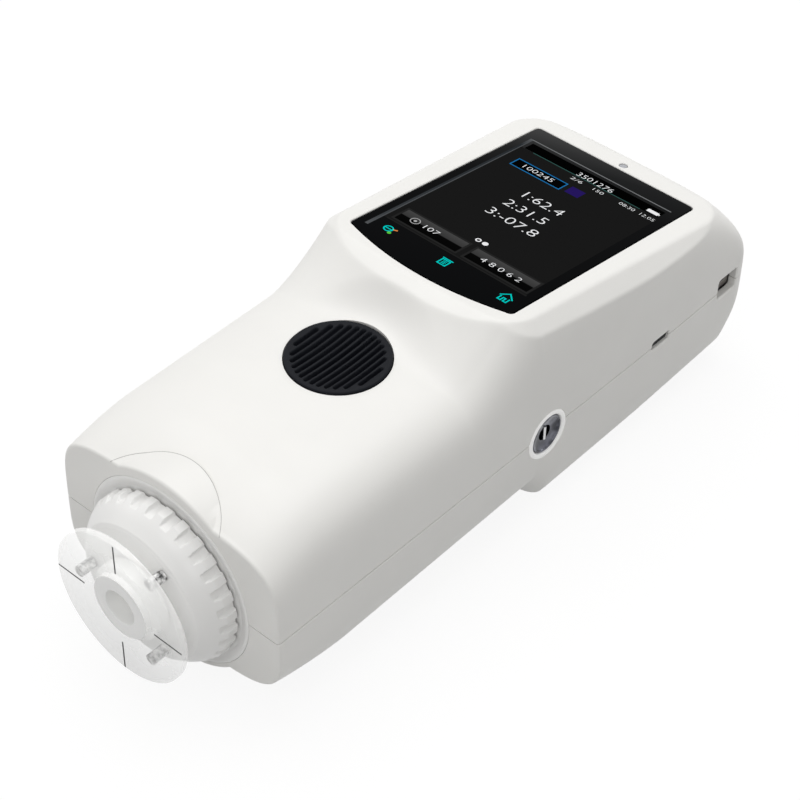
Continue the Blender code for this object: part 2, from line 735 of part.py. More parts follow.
def stations():
    """Places along the length where the housing's sections stand, closer where the form turns."""
    places = span(NOSE_FACE_Y + NOSE_FILLET, NOSE_FACE_Y + NOSE_DROP_LENGTH, DROP_RINGS)
    places += span(NOSE_FACE_Y + NOSE_DROP_LENGTH, SWEEP_START_Y, HANDLE_RINGS)
    places += span(SWEEP_START_Y, SWEEP_START_Y + SWEEP_LENGTH + SWEEP_BOW, SWEEP_RINGS)
    places += span(SWEEP_START_Y + SWEEP_LENGTH + SWEEP_BOW, HUMP_START_Y, 1)
    places += span(HUMP_START_Y, HUMP_END_Y, HUMP_RINGS)
    places += span(HUMP_END_Y, REAR_Y - 2 * REAR_CORNER_RADIUS, SCREEN_RINGS)
    rear_length = 2 * REAR_CORNER_RADIUS - REAR_END_MARGIN
    for i in range(REAR_RINGS + 1):
        turn = math.pi / 2 * i / REAR_RINGS
        places.append(REAR_Y - 2 * REAR_CORNER_RADIUS + rear_length * math.sin(turn))
    return places


def nose_insets():
    """The rounded edge round the nose face: (place, inset) of its sections."""
    edge = []
    for i in range(EDGE_RINGS):
        turn = math.pi / 2 * i / EDGE_RINGS
        place = NOSE_FACE_Y + NOSE_FILLET * (1 - math.cos(turn))
        edge.append((place, NOSE_FILLET * (1 - math.sin(turn))))
    return edge


def fillet_section(points_of, place, inset):
    """A section drawn in by a fillet, without the cavity's own limits."""
    middle = points_of(place, 0, SECTION_STEPS)
    width = half_width(place)
    drawn = []
    for x, y, z in middle:
        height = abs(z - PARTING_Z)
        deepest = max(abs(point[2] - PARTING_Z) for point in middle)
        share = 1 - inset / deepest
        limit = HALF_GAP if height <= HALF_GAP else height * share
        drawn.append((x * (1 - inset / width), y, PARTING_Z + math.copysign(limit, z - PARTING_Z)))
    return drawn


def housing_half(shop, name, points_of, material):
    rings = [fillet_section(points_of, place, inset) for place, inset in nose_insets()]
    rings += [points_of(place, 0, SECTION_STEPS) for place in stations()]
    return shop.loft(name, rings, material)


def make_core(shop, name, inset, front):
    """The housing's form drawn in by an inset all round, in one piece, from a front place to the rear."""
    end = REAR_Y - REAR_END_MARGIN - inset
    places = [front]
    for place in stations():
        if places[-1] + CAVITY_SPACING <= place <= end - CAVITY_SPACING:
            places.append(place)
    places.append(end)
    rings = []
    for place in places:
        over = upper_points(place, inset, CAVITY_STEPS)
        under = lower_points(place, inset, CAVITY_STEPS)
        rings.append(over[1:-1] + under[1:-1])
    return shop.loft(name, rings)


# Bezel


def bowed_outline(front_half, rear_half, front, rear, front_bow, rear_bow, radius):
    """A rounded outline in the bezel plane with bowed ends, as (x, s) points, anticlockwise from the right front."""
    points = []
    corners = (
        (front_half - radius, front + radius, -90),
        (rear_half - radius, rear - radius, 0),
        (radius - rear_half, rear - radius, 90),
        (radius - front_half, front + radius, 180),
    )
    for x, s, start in corners:
        for i in range(OUTLINE_ARC_STEPS + 1):
            turn = math.radians(start + 90 * i / OUTLINE_ARC_STEPS)
            points.append((x + radius * math.cos(turn), s + radius * math.sin(turn)))
        if start == 0:
            points += bow_points(rear_half - radius, radius - rear_half, rear, rear_bow)
        if start == 180:
            points += bow_points(radius - front_half, front_half - radius, front, -front_bow)
    return points


def bow_points(start, end, s, bow):
    points = []
    for i in range(1, OUTLINE_BOW_STEPS):
        share = i / OUTLINE_BOW_STEPS
        points.append((mix(start, end, share), s + bow * (1 - (2 * share - 1) ** 2)))
    return points


def outward(points):
    """Unit normals of a closed outline."""
    normals = []
    for i, point in enumerate(points):
        before, after = points[i - 1], points[(i + 1) % len(points)]
        along = Vector((after[0] - before[0], after[1] - before[1])).normalized()
        normals.append((along.y, -along.x))
    return normals


def make_bezel_cutter(shop):
    """Everything above the bezel plane and its sloping chamfers."""
    inner = bowed_outline(
        BEZEL_FRONT_HALF_WIDTH,
        BEZEL_REAR_HALF_WIDTH,
        BEZEL_FRONT,
        BEZEL_REAR,
        BEZEL_FRONT_BOW,
        BEZEL_REAR_BOW,
        BEZEL_CORNER_RADIUS,
    )
    rings = [[], [], []]
    for (x, s), (across, along) in zip(inner, outward(inner)):
        front_share = max(-along, 0) ** 2
        rear_share = max(along, 0) ** 2
        slope = mix(CHAMFER_SIDE_SLOPE, CHAMFER_FRONT_SLOPE, front_share)
        slope = mix(slope, CHAMFER_REAR_SLOPE, rear_share)
        far_x, far_s = x + across * CHAMFER_REACH, s + along * CHAMFER_REACH
        rings[0].append((x, s, 0))
        rings[1].append((far_x, far_s, -slope * CHAMFER_REACH))
        rings[2].append((far_x, far_s, BLANK_CLEAR))
    return shop.loft("bezel_cutter", rings, parent=shop.bezel)


def glass_outline(margin=0):
    return bowed_outline(
        GLASS_HALF_WIDTH + margin,
        GLASS_HALF_WIDTH + margin,
        GLASS_FRONT - margin,
        GLASS_REAR + margin,
        GLASS_BOW,
        0,
        GLASS_CORNER_RADIUS + margin,
    )


# Housing halves


def make_top_boss(shop):
    """The round boss over the collar, which fades into the handle's top."""
    front = NOSE_FACE_Y
    length = TOP_BOSS_PLAN_RADIUS + TOP_BOSS_PLAN_Y + OVERRUN - front
    profile = (
        (0, length),
        (TOP_BOSS_RADIUS, length),
        (TOP_BOSS_RADIUS, NOSE_FILLET),
        (TOP_BOSS_RADIUS - BOSS_EDGE / 2, BOSS_EDGE),
        (TOP_BOSS_RADIUS - 2 * BOSS_EDGE, 0),
        (0, 0),
    )
    boss = shop.turned("top_boss", profile, (0, front, 0), ALONG_Y, BOSS_STEPS, closed=False)
    plan_base = (0, TOP_BOSS_PLAN_Y, TOP_BOSS_Z)
    plan = shop.rod("top_boss_plan", TOP_BOSS_PLAN_RADIUS, TOP_BOSS_RADIUS, plan_base, steps=BOSS_STEPS)
    boolean(boss, plan, "INTERSECT")
    return boss


def make_low_boss(shop):
    """The round boss under the collar, which the nose rests on."""
    full = REST_DROP
    fade = LOW_BOSS_FADE_Y - NOSE_FACE_Y
    profile = (
        (0, fade),
        (LOW_BOSS_FADE_RADIUS, fade),
        (full, LOW_BOSS_FLAT),
        (full, BOSS_EDGE),
        (full - BOSS_EDGE / 2, 0),
        (0, 0),
    )
    boss = shop.turned("low_boss", profile, (0, NOSE_FACE_Y, 0), ALONG_Y, BOSS_STEPS, closed=False)
    cut(boss, shop.above_seam)
    return boss


def make_seam_cutters(shop):
    """Blocks that keep what is joined to one half a step away from its parting face."""
    low = (-REAR_Y, -REAR_Y, -REAR_Y)
    high = (REAR_Y, 2 * REAR_Y, REAR_Y)
    shop.above_seam = shop.box("above_seam", (low[0], low[1], PARTING_Z - HALF_GAP - SEAM_STEP), high)
    shop.below_seam = shop.box("below_seam", low, (high[0], high[1], PARTING_Z + HALF_GAP + SEAM_STEP))


def make_nose_cutters(shop):
    pocket_end = NOSE_FACE_Y - COLLAR_PROUD + COLLAR_DEPTH + GAP
    pocket = shop.rod(
        "collar_pocket",
        COLLAR_RADIUS + HALF_GAP,
        pocket_end - NOSE_FACE_Y + OVERRUN,
        (0, NOSE_FACE_Y - OVERRUN, 0),
        ALONG_Y,
        COLLAR_STEPS,
    )
    neck = shop.rod(
        "neck_hole",
        NECK_HOLE_RADIUS,
        CAVITY_FRONT_Y - pocket_end + 2 * OVERRUN,
        (0, pocket_end - OVERRUN, 0),
        ALONG_Y,
    )
    return pocket, neck


def anchor_seat_start():
    return ANCHOR_FACE_X - ANCHOR_LENGTH - ANCHOR_SEAT - GAP


def make_anchor_seat(shop, name, seam_cutter):
    """One half of the ring wall that holds the strap anchor's cup."""
    start = anchor_seat_start()
    length = ANCHOR_FACE_X + ANCHOR_LIP_PROUD - start
    base = (start, ANCHOR_Y, ANCHOR_Z)
    seat = shop.rod(name, ANCHOR_LIP_RADIUS, length, base, ALONG_X, ANCHOR_STEPS)
    cut(seat, seam_cutter)
    return seat


def make_anchor_pocket(shop):
    start = anchor_seat_start()
    return shop.rod(
        "anchor_pocket",
        ANCHOR_RADIUS + HALF_GAP,
        ANCHOR_LENGTH + GAP + OVERRUN,
        (start + ANCHOR_SEAT, ANCHOR_Y, ANCHOR_Z),
        ALONG_X,
        ANCHOR_STEPS,
    )


def make_port_cutter(shop):
    low = (half_width(PORT_Y) - 2 * WALL, PORT_Y - PORT_HALF_WIDTH, PORT_Z - PORT_HALF_HEIGHT)
    high = (half_width(PORT_Y) + OVERRUN, PORT_Y + PORT_HALF_WIDTH, PORT_Z + PORT_HALF_HEIGHT)
    return shop.box("port_opening", low, high)


def make_side_slot_cutter(shop):
    outer = half_width(SIDE_SLOT_Y)
    low = (outer - SIDE_SLOT_DEPTH, SIDE_SLOT_Y - SIDE_SLOT_HALF_WIDTH, PARTING_Z - SIDE_SLOT_DROP)
    high = (outer + OVERRUN, SIDE_SLOT_Y + SIDE_SLOT_HALF_WIDTH, PARTING_Z + SIDE_SLOT_RISE)
    return shop.box("side_slot", low, high)


def screw_places():
    for y, x in ((SCREW_FRONT_Y, SCREW_FRONT_X), (SCREW_REAR_Y, SCREW_REAR_X)):
        for side in (-1, 1):
            yield side * x, y


def make_upper_shell(shop, core, cavity, nose_cutters, *side_cutters):
    shell = housing_half(shop, "upper_shell", upper_points, "shell")
    join(shell, make_top_boss(shop))
    cut(shell, cavity, make_bezel_cutter(shop))
    join(shell, make_anchor_seat(shop, "anchor_seat_upper", shop.below_seam))
    for i, (x, y) in enumerate(screw_places()):
        base = (x, y, PARTING_Z + HALF_GAP + SEAM_STEP)
        length = SCREW_TOP_BOSS_Z - base[2]
        boss = shop.rod(f"top_boss_{i}", SCREW_TOP_BOSS_RADIUS, length, base, steps=BOSS_POST_STEPS)
        boolean(boss, core, "INTERSECT")
        join(shell, boss)
    cut(shell, *nose_cutters, *side_cutters)
    for i, (x, y) in enumerate(screw_places()):
        base = (x, y, PARTING_Z - OVERRUN)
        depth = SCREW_SEAT_Z + SCREW_LENGTH + 2 * GAP - base[2]
        cut(shell, shop.rod(f"top_pilot_{i}", SCREW_RADIUS + HALF_GAP, depth, base, steps=SCREW_STEPS))
    cut(shell, *make_bezel_openings(shop))
    hole_base = (0, BUTTON_Y, PARTING_Z)
    hole_radius = BUTTON_RADIUS + GAP
    cut(shell, shop.rod("button_hole", hole_radius, 2 * HANDLE_RISE, hole_base, steps=BUTTON_STEPS))
    shade_round(shell)
    return shell


def make_bezel_openings(shop):
    """The glass recess, the window behind it and the indicator's hole."""
    recess_floor = -GLASS_SINK - GLASS_THICKNESS - GAP
    recess = shop.plate("glass_recess", glass_outline(HALF_GAP), recess_floor, OVERRUN, parent=shop.bezel)
    window = shop.box(
        "screen_window",
        (-WINDOW_HALF_WIDTH, WINDOW_FRONT, -ROOF - OVERRUN),
        (WINDOW_HALF_WIDTH, WINDOW_REAR, OVERRUN),
        parent=shop.bezel,
    )
    indicator = shop.rod(
        "indicator_hole",
        INDICATOR_RADIUS + HALF_GAP,
        ROOF + 2 * OVERRUN,
        (INDICATOR_X, INDICATOR_S, -ROOF - OVERRUN),
        steps=INDICATOR_STEPS,
        parent=shop.bezel,
    )
    return recess, window, indicator


def board_post_places():
    for y in (BOARD_FRONT_Y + BOARD_POST_INSET, BOARD_REAR_Y - BOARD_POST_INSET):
        for side in (-1, 1):
            yield side * BOARD_POST_X, y


def make_lower_shell(shop, core, cavity, nose_cutters, *side_cutters):
    shell = housing_half(shop, "lower_shell", lower_points, "shell")
    join(shell, make_low_boss(shop))
    cut(shell, cavity)
    join(shell, make_anchor_seat(shop, "anchor_seat_lower", shop.above_seam))
    top = PARTING_Z - HALF_GAP - SEAM_STEP
    for i, (x, y) in enumerate(screw_places()):
        base = (x, y, -REST_DROP)
        boss = shop.rod(f"low_boss_{i}", SCREW_BOSS_RADIUS, top - base[2], base, steps=BOSS_POST_STEPS)
        boolean(boss, core, "INTERSECT")
        join(shell, boss)
    floor = WALL / 2 - REST_DROP
    for i, (x, y) in enumerate(board_post_places()):
        post = shop.rod(
            f"board_post_{i}", BOARD_POST_RADIUS, BOARD_Z - GAP - floor, (x, y, floor), steps=BOSS_POST_STEPS
        )
        join(shell, post)
    port_post = shop.rod(
        "port_post",
        PORT_POST_RADIUS,
        PORT_Z - CONNECTOR_HEIGHT / 2 - BOARD_THICKNESS - 2 * GAP - floor,
        (PORT_BOARD_X + PORT_POST_RADIUS, PORT_Y - PORT_POST_RADIUS, floor),
        steps=BOSS_POST_STEPS,
    )
    join(shell, port_post)
    cut(shell, *nose_cutters, *side_cutters)
    for i, (x, y) in enumerate(screw_places()):
        well_base = (x, y, -REST_DROP - OVERRUN)
        well = SCREW_SEAT_Z - well_base[2]
        cut(shell, shop.rod(f"screw_well_{i}", SCREW_WELL_RADIUS, well, well_base, steps=BOSS_POST_STEPS))
        hole_base = (x, y, SCREW_SEAT_Z - OVERRUN)
        hole = PARTING_Z + OVERRUN - hole_base[2]
        cut(shell, shop.rod(f"screw_hole_{i}", SCREW_HOLE_RADIUS, hole, hole_base, steps=SCREW_STEPS))
    for i, (x, y) in enumerate(board_post_places()):
        base = (x, y, BOARD_Z - BOARD_PILOT_DEPTH)
        pilot = BOARD_PILOT_DEPTH + OVERRUN
        cut(shell, shop.rod(f"board_pilot_{i}", BOARD_PILOT_RADIUS, pilot, base, steps=SCREW_STEPS))
    shade_round(shell)
    return shell


def make_housing(shop):
    make_seam_cutters(shop)
    core = make_core(shop, "core", WALL / 2, NOSE_FACE_Y + WALL)
    cavity = make_core(shop, "cavity", WALL, CAVITY_FRONT_Y)
    nose_cutters = make_nose_cutters(shop)
    side_cutters = (make_anchor_pocket(shop), make_port_cutter(shop), make_side_slot_cutter(shop))
    shared = (core, cavity, nose_cutters, *side_cutters)
    make_upper_shell(shop, *shared)
    make_lower_shell(shop, *shared)
    for i, (x, y) in enumerate(screw_places()):
        make_housing_screw(shop, f"housing_screw_{i + 1}", x, y)


def make_housing_screw(shop, name, x, y):
    profile = (
        (0, SCREW_HEAD + SCREW_LENGTH),
        (SCREW_RADIUS, SCREW_HEAD + SCREW_LENGTH),
        (SCREW_RADIUS, SCREW_HEAD),
        (SCREW_HEAD_RADIUS, SCREW_HEAD),
        (SCREW_HEAD_RADIUS, 0),
        (SCREW_SOCKET_RADIUS, 0),
        (SCREW_SOCKET_RADIUS, SCREW_SOCKET_DEPTH),
        (0, SCREW_SOCKET_DEPTH),
    )
    base = (x, y, SCREW_SEAT_Z - GAP - SCREW_HEAD)
    return shop.turned(name, profile, base, steps=SCREW_STEPS, material="steel", closed=False)


# Screen


def make_screen(shop):
    glass_top = -GLASS_SINK
    glass_low = glass_top - GLASS_THICKNESS
    shop.plate("touch_glass", glass_outline(-HALF_GAP), glass_low, glass_top, "glass", shop.bezel)
    display_top = glass_low - GAP
    display_low = display_top - DISPLAY_THICKNESS
    shop.box(
        "display_module",
        (GAP - WINDOW_HALF_WIDTH, WINDOW_FRONT + GAP, display_low),
        (WINDOW_HALF_WIDTH - GAP, WINDOW_REAR - GAP, display_top),
        "screen",
        shop.bezel,
    )
    frame_top = -ROOF - GAP
    frame = shop.box(
        "display_frame",
        (-FRAME_HALF_WIDTH, FRAME_FRONT, frame_top - FRAME_DEPTH),
        (FRAME_HALF_WIDTH, FRAME_REAR, frame_top),
        "grey",
        shop.bezel,
    )
    pocket_floor = display_low - GAP
    pocket = shop.box(
        "display_pocket",
        (-WINDOW_HALF_WIDTH, WINDOW_FRONT, pocket_floor),
        (WINDOW_HALF_WIDTH, WINDOW_REAR, frame_top + OVERRUN),
        parent=shop.bezel,
    )
    vent = shop.box(
        "display_vent",
        (-FRAME_VENT_HALF_WIDTH, WINDOW_FRONT + WINDOW_HALF_WIDTH - FRAME_VENT_HALF_WIDTH, -BLANK_CLEAR),
        (FRAME_VENT_HALF_WIDTH, WINDOW_REAR - WINDOW_HALF_WIDTH + FRAME_VENT_HALF_WIDTH, frame_top),
        parent=shop.bezel,
    )
    cut(frame, pocket, vent)
    shop.rod(
        "indicator_window",
        INDICATOR_RADIUS,
        INDICATOR_LENGTH,
        (INDICATOR_X, INDICATOR_S, GLASS_SINK - INDICATOR_LENGTH),
        steps=INDICATOR_STEPS,
        material="amber",
        parent=shop.bezel,
    )


# Nose


def make_collar(shop):
    front = NOSE_FACE_Y - COLLAR_PROUD
    flange_start = COLLAR_DEPTH - COLLAR_FLANGE
    profile = (
        (COLLAR_RADIUS, COLLAR_DEPTH),
        (COLLAR_RADIUS, COLLAR_PROUD / 2),
        (COLLAR_RADIUS - COLLAR_PROUD / 2, 0),
        (COLLAR_RADIUS - COLLAR_RIM + COLLAR_PROUD / 2, 0),
        (COLLAR_RADIUS - COLLAR_RIM, COLLAR_PROUD / 2),
        (COLLAR_RECESS_RADIUS, flange_start),
        (COLLAR_BORE_RADIUS, flange_start),
        (COLLAR_BORE_RADIUS, COLLAR_DEPTH),
    )
    return shop.turned("collar_ring", profile, (0, front, 0), ALONG_Y, COLLAR_STEPS, "white")


def make_drum(shop):
    """The grip drum with its scalloped band. It turns in the collar about the nose axis."""
    face = 0
    band = DRUM_BAND_Y - DRUM_FACE_Y
    rear = DRUM_REAR_Y - DRUM_FACE_Y
    neck = DRUM_NECK_Y - DRUM_FACE_Y
    profile = (
        (DRUM_NECK_RADIUS, neck),
        (DRUM_NECK_RADIUS, rear),
        (DRUM_BAND_RADIUS, rear),
        (DRUM_BAND_RADIUS, band + DRUM_SHOULDER),
        (DRUM_BAND_RADIUS - DRUM_SHOULDER, band),
        (DRUM_FACE_RADIUS + DRUM_SHOULDER / 2, DRUM_SHOULDER),
        (DRUM_FACE_RADIUS - DRUM_SHOULDER / 2, face),
        (DRUM_BORE_RADIUS, face),
        (DRUM_BORE_RADIUS, DRUM_SHOULDER),
        (DRUM_REAR_BORE_RADIUS, neck),
    )
    place = (0, DRUM_FACE_Y, 0)
    drum = shop.turned("aperture_drum", profile, place, ALONG_Y, DRUM_STEPS, "white")
    for i in range(SCALLOP_COUNT):
        turn = 2 * math.pi * i / SCALLOP_COUNT
        reach = DRUM_BAND_RADIUS - SCALLOP_DEPTH + SCALLOP_RADIUS
        base = (reach * math.cos(turn), DRUM_BAND_Y + DRUM_SHOULDER / 2, reach * math.sin(turn))
        length = DRUM_REAR_Y - base[1] + OVERRUN
        cut(drum, shop.rod(f"scallop_{i}", SCALLOP_RADIUS, length, base, ALONG_Y, SCALLOP_SIDES))
    for i, angle in enumerate(POST_ANGLES):
        base = post_place(angle, DRUM_FACE_Y - OVERRUN)
        depth = OVERRUN + POST_ENTRY
        cut(drum, shop.rod(f"post_hole_{i}", POST_RADIUS + HALF_GAP, depth, base, ALONG_Y, POST_STEPS))
    return drum


def post_place(angle, y):
    return POST_RING_RADIUS * math.cos(angle), y, POST_RING_RADIUS * math.sin(angle)


def make_locating_plate(shop):
    """The clear disc that is laid on the sample, with the posts that plug it into the drum."""
    profile = (
        (PLATE_RADIUS, PLATE_THICKNESS),
        (PLATE_RADIUS, 0),
        (HUB_SPIGOT_RADIUS + HALF_GAP, 0),
        (HUB_SPIGOT_RADIUS + HALF_GAP, PLATE_THICKNESS),
    )
    plate = shop.turned("locating_plate", profile, (0, 0, 0), ALONG_Y, PLATE_STEPS, "clear")
    length = DRUM_FACE_Y + POST_ENTRY - GAP - PLATE_THICKNESS + BITE
    for i, angle in enumerate(POST_ANGLES):
        base = post_place(angle, PLATE_THICKNESS - BITE)
        join(plate, shop.rod(f"post_{i}", POST_RADIUS, length, base, ALONG_Y, POST_STEPS))
    return plate


def make_hub(shop):
    """The white hub behind the plate, with the measuring aperture through it."""
    rear = DRUM_FACE_Y - GAP
    front = PLATE_THICKNESS + GAP
    profile = (
        (HUB_RADIUS, rear),
        (HUB_RADIUS, front),
        (HUB_SPIGOT_RADIUS, front),
        (HUB_SPIGOT_RADIUS, HALF_GAP),
        (APERTURE_RADIUS, HALF_GAP),
        (APERTURE_RADIUS + APERTURE_FLARE, rear),
    )
    return shop.turned("aperture_hub", profile, (0, 0, 0), ALONG_Y, HUB_STEPS, "white")


# Button


def make_button(shop):
    """The grooved cap, its flange under the housing and the stem that works the switch."""
    flange_top = PARTING_Z + HANDLE_RISE - WALL - 2 * GAP
    top = BUTTON_TOP_Z - flange_top
    profile = (
        (0, top - GROOVE_DEPTH),
        (BUTTON_RADIUS - GROOVE_MARGIN, top - GROOVE_DEPTH / 2),
        (BUTTON_RADIUS - GROOVE_MARGIN, top),
        (BUTTON_RADIUS - BUTTON_EDGE, top),
        (BUTTON_RADIUS, top - BUTTON_EDGE),
        (BUTTON_RADIUS, 0),
        (BUTTON_FLANGE_RADIUS, 0),
        (BUTTON_FLANGE_RADIUS, -BUTTON_FLANGE),
        (BUTTON_STEM_RADIUS, -BUTTON_FLANGE),
        (BUTTON_STEM_RADIUS, -BUTTON_FLANGE - BUTTON_STEM_LENGTH),
        (0, -BUTTON_FLANGE - BUTTON_STEM_LENGTH),
    )
    place = (0, BUTTON_Y, flange_top)
    button = shop.turned("measure_button", profile, place, UPRIGHT, BUTTON_STEPS, "button", closed=False)
    inner = BUTTON_RADIUS - GROOVE_MARGIN
    for i in range(GROOVE_COUNT):
        x = (i - (GROOVE_COUNT - 1) / 2) * GROOVE_PITCH
        reach = math.sqrt(inner**2 - (abs(x) + GROOVE_WIDTH / 2) ** 2) - GROOVE_MARGIN / 2
        base = BUTTON_TOP_Z - 2 * GROOVE_DEPTH
        groove = shop.box(
            f"groove_{i}",
            (x - GROOVE_WIDTH / 2, BUTTON_Y - reach, base),
            (x + GROOVE_WIDTH / 2, BUTTON_Y + reach, BUTTON_TOP_Z + OVERRUN),
        )
        cut(button, groove)
    return button


def guide_top_z():
    return PARTING_Z + HANDLE_RISE - WALL - 2 * GAP


def make_button_support(shop):
    """The cup under the button with its switch board, push switch and return spring."""
    inner = BUTTON_FLANGE_RADIUS + GAP
    outer = inner + GUIDE_WALL
    low = guide_top_z() - GUIDE_HEIGHT
    profile = (
        (0, GUIDE_FLOOR),
        (inner, GUIDE_FLOOR),
        (inner, GUIDE_HEIGHT),
        (outer, GUIDE_HEIGHT),
        (outer, 0),
        (0, 0),
    )
    shop.turned("button_guide", profile, (0, BUTTON_Y, low), UPRIGHT, GUIDE_STEPS, "black", closed=False)
    board_low = low + GUIDE_FLOOR + GAP
    shop.rod(
        "switch_board",
        SWITCH_BOARD_RADIUS,
        SWITCH_BOARD_THICKNESS,
        (0, BUTTON_Y, board_low),
        steps=GUIDE_STEPS,
        material="board",
    )
    switch_low = board_low + SWITCH_BOARD_THICKNESS + GAP / 2
    stem_low = guide_top_z() - BUTTON_FLANGE - BUTTON_STEM_LENGTH
    switch_high = stem_low - BUTTON_TRAVEL - GAP
    half = SWITCH_SIDE / 2
    shop.box(
        "push_switch", (-half, BUTTON_Y - half, switch_low), (half, BUTTON_Y + half, switch_high), "black"
    )
    make_spring(shop, board_low + SWITCH_BOARD_THICKNESS, guide_top_z() - BUTTON_FLANGE)


def make_spring(shop, low, high):
    """The return spring between the switch board and the button's flange."""
    low += SPRING_WIRE_RADIUS + HALF_GAP
    high -= SPRING_WIRE_RADIUS + HALF_GAP
    curve = bpy.data.curves.new("button_spring", "CURVE")
    curve.dimensions = "3D"
    curve.bevel_depth = SPRING_WIRE_RADIUS
    curve.bevel_resolution = 1
    curve.use_fill_caps = True
    spline = curve.splines.new("POLY")
    count = round(SPRING_TURNS * SPRING_TURN_POINTS)
    spline.points.add(count)
    for i, point in enumerate(spline.points):
        turn = 2 * math.pi * i / SPRING_TURN_POINTS
        x, y = SPRING_RADIUS * math.cos(turn), SPRING_RADIUS * math.sin(turn)
        point.co = (x, y, mix(low, high, i / count), 1)
    shop.from_curve("button_spring", curve, (0, BUTTON_Y, 0), "steel")


# Optics


def sphere_arc(radius, start, end, rings=SPHERE_RINGS):
    """Points (radius, height) on a circle about the sphere's middle, between two angles from its own Z."""
    points = []
    for i in range(rings + 1):
        angle = mix(start, end, i / rings)
        points.append((radius * math.sin(angle), radius * math.cos(angle)))
    return points


def make_sphere_front(shop):
    """The front half of the integrating sphere, with the neck that looks through the drum."""
    inside = SPHERE_RADIUS - SPHERE_WALL
    neck = SPHERE_NECK_Y - SPHERE_Y
    outer_start = math.pi - math.asin(SPHERE_NECK_RADIUS / SPHERE_RADIUS)
    inner_start = math.pi - math.asin(SPHERE_NECK_BORE / inside)
    rim = math.pi / 2
    outer = sphere_arc(SPHERE_RADIUS, rim, outer_start)
    inner = sphere_arc(inside, inner_start, rim)
    outer = [(r, z - HALF_GAP) for r, z in outer]
    inner = [(r, z - HALF_GAP) for r, z in inner]
    profile = outer + [(SPHERE_NECK_RADIUS, neck), (SPHERE_NECK_BORE, neck)] + inner
    place = (0, SPHERE_Y, 0)
    sphere = shop.turned("sphere_front", profile, place, ALONG_Y, SPHERE_STEPS, "barium")
    boss_base = (0, LAMP_BOSS_Y, inside)
    boss = shop.rod("lamp_boss", LAMP_BOSS_RADIUS, LAMP_BOSS_Z - inside, boss_base, steps=BOSS_POST_STEPS)
    inner_ball = shop.turned("sphere_hollow", ball_profile(inside), place, ALONG_Y, SPHERE_STEPS, closed=False)
    cut(boss, inner_ball)
    join(sphere, boss)
    port_base = (0, LAMP_BOSS_Y, inside / 2)
    port = shop.rod("lamp_port", LAMP_PORT_RADIUS, SPHERE_RADIUS, port_base, steps=BOSS_POST_STEPS)
    cut(sphere, port)
    return sphere


def ball_profile(radius):
    points = sphere_arc(radius, 0, math.pi, 3 * SPHERE_RINGS)
    return [(0, radius)] + points[1:-1] + [(0, -radius)]


def make_sphere_rear(shop):
    """The rear half of the integrating sphere, with the socket of the lens tube."""
    inside = SPHERE_RADIUS - SPHERE_WALL
    socket = SPHERE_SOCKET_Y - SPHERE_Y
    shoulder = TUBE_START_Y - GAP - SPHERE_Y
    outer_end = math.asin(SPHERE_SOCKET_RADIUS / SPHERE_RADIUS)
    inner_end = math.asin(SPHERE_PORT_RADIUS / inside)
    rim = math.pi / 2
    outer = sphere_arc(SPHERE_RADIUS, outer_end, rim)
    inner = sphere_arc(inside, rim, inner_end)
    outer = [(r, z + HALF_GAP) for r, z in outer]
    inner = [(r, z + HALF_GAP) for r, z in inner]
    mouth = [
        (SPHERE_PORT_RADIUS, shoulder),
        (SPHERE_SOCKET_BORE, shoulder),
        (SPHERE_SOCKET_BORE, socket),
        (SPHERE_SOCKET_RADIUS, socket),
    ]
    place = (0, SPHERE_Y, 0)
    return shop.turned("sphere_rear", outer + inner + mouth, place, ALONG_Y, SPHERE_STEPS, "barium")


def make_lamp(shop):
    board_low = LAMP_BOSS_Z + GAP
    board_high = board_low + LAMP_BOARD_THICKNESS
    half = LAMP_BOARD_SIDE / 2
    shop.box(
        "lamp_board", (-half, LAMP_BOSS_Y - half, board_low), (half, LAMP_BOSS_Y + half, board_high), "board"
    )
    profile = (
        (0, 0),
        (LAMP_RADIUS, 0),
        (LAMP_RADIUS, -LAMP_LENGTH + LAMP_RADIUS),
        (LAMP_RADIUS * math.cos(math.pi / 4), -LAMP_LENGTH + LAMP_RADIUS * (1 - math.sin(math.pi / 4))),
        (0, -LAMP_LENGTH),
    )
    lamp_top = (0, LAMP_BOSS_Y, board_low - HALF_GAP)
    shop.turned("lamp", profile, lamp_top, UPRIGHT, SCREW_STEPS, "optic", closed=False)


def make_lens_tube(shop):
    length = TUBE_END_Y - TUBE_START_Y
    profile = (
        (TUBE_RADIUS, 0),
        (TUBE_STOP_RADIUS, 0),
        (TUBE_STOP_RADIUS, TUBE_STOP),
        (TUBE_BORE, TUBE_STOP),
        (TUBE_BORE, length),
        (TUBE_FLANGE_RADIUS, length),
        (TUBE_FLANGE_RADIUS, length - TUBE_FLANGE),
        (TUBE_RADIUS, length - TUBE_FLANGE),
    )
    shop.turned("lens_tube", profile, (0, TUBE_START_Y, 0), ALONG_Y, TUBE_STEPS, "alloy")
    lens_radius = TUBE_BORE - HALF_GAP
    lens = []
    for i in range(LENS_RINGS + 1):
        share = i / LENS_RINGS
        lens.append((lens_radius * share, LENS_THICKNESS / 2 + LENS_CROWN * (1 - share**2)))
    under = [(radius, -height) for radius, height in reversed(lens)]
    middle = TUBE_START_Y + TUBE_STOP + GAP + LENS_THICKNESS / 2 + LENS_CROWN
    shop.turned("lens", lens + under, (0, middle, 0), ALONG_Y, TUBE_STEPS, "optic", closed=False)


def floor_z(y):
    """Height of the lower shell's floor on the centre line."""
    return max(PARTING_Z - keel_depth(y, WALL), WALL - REST_DROP)


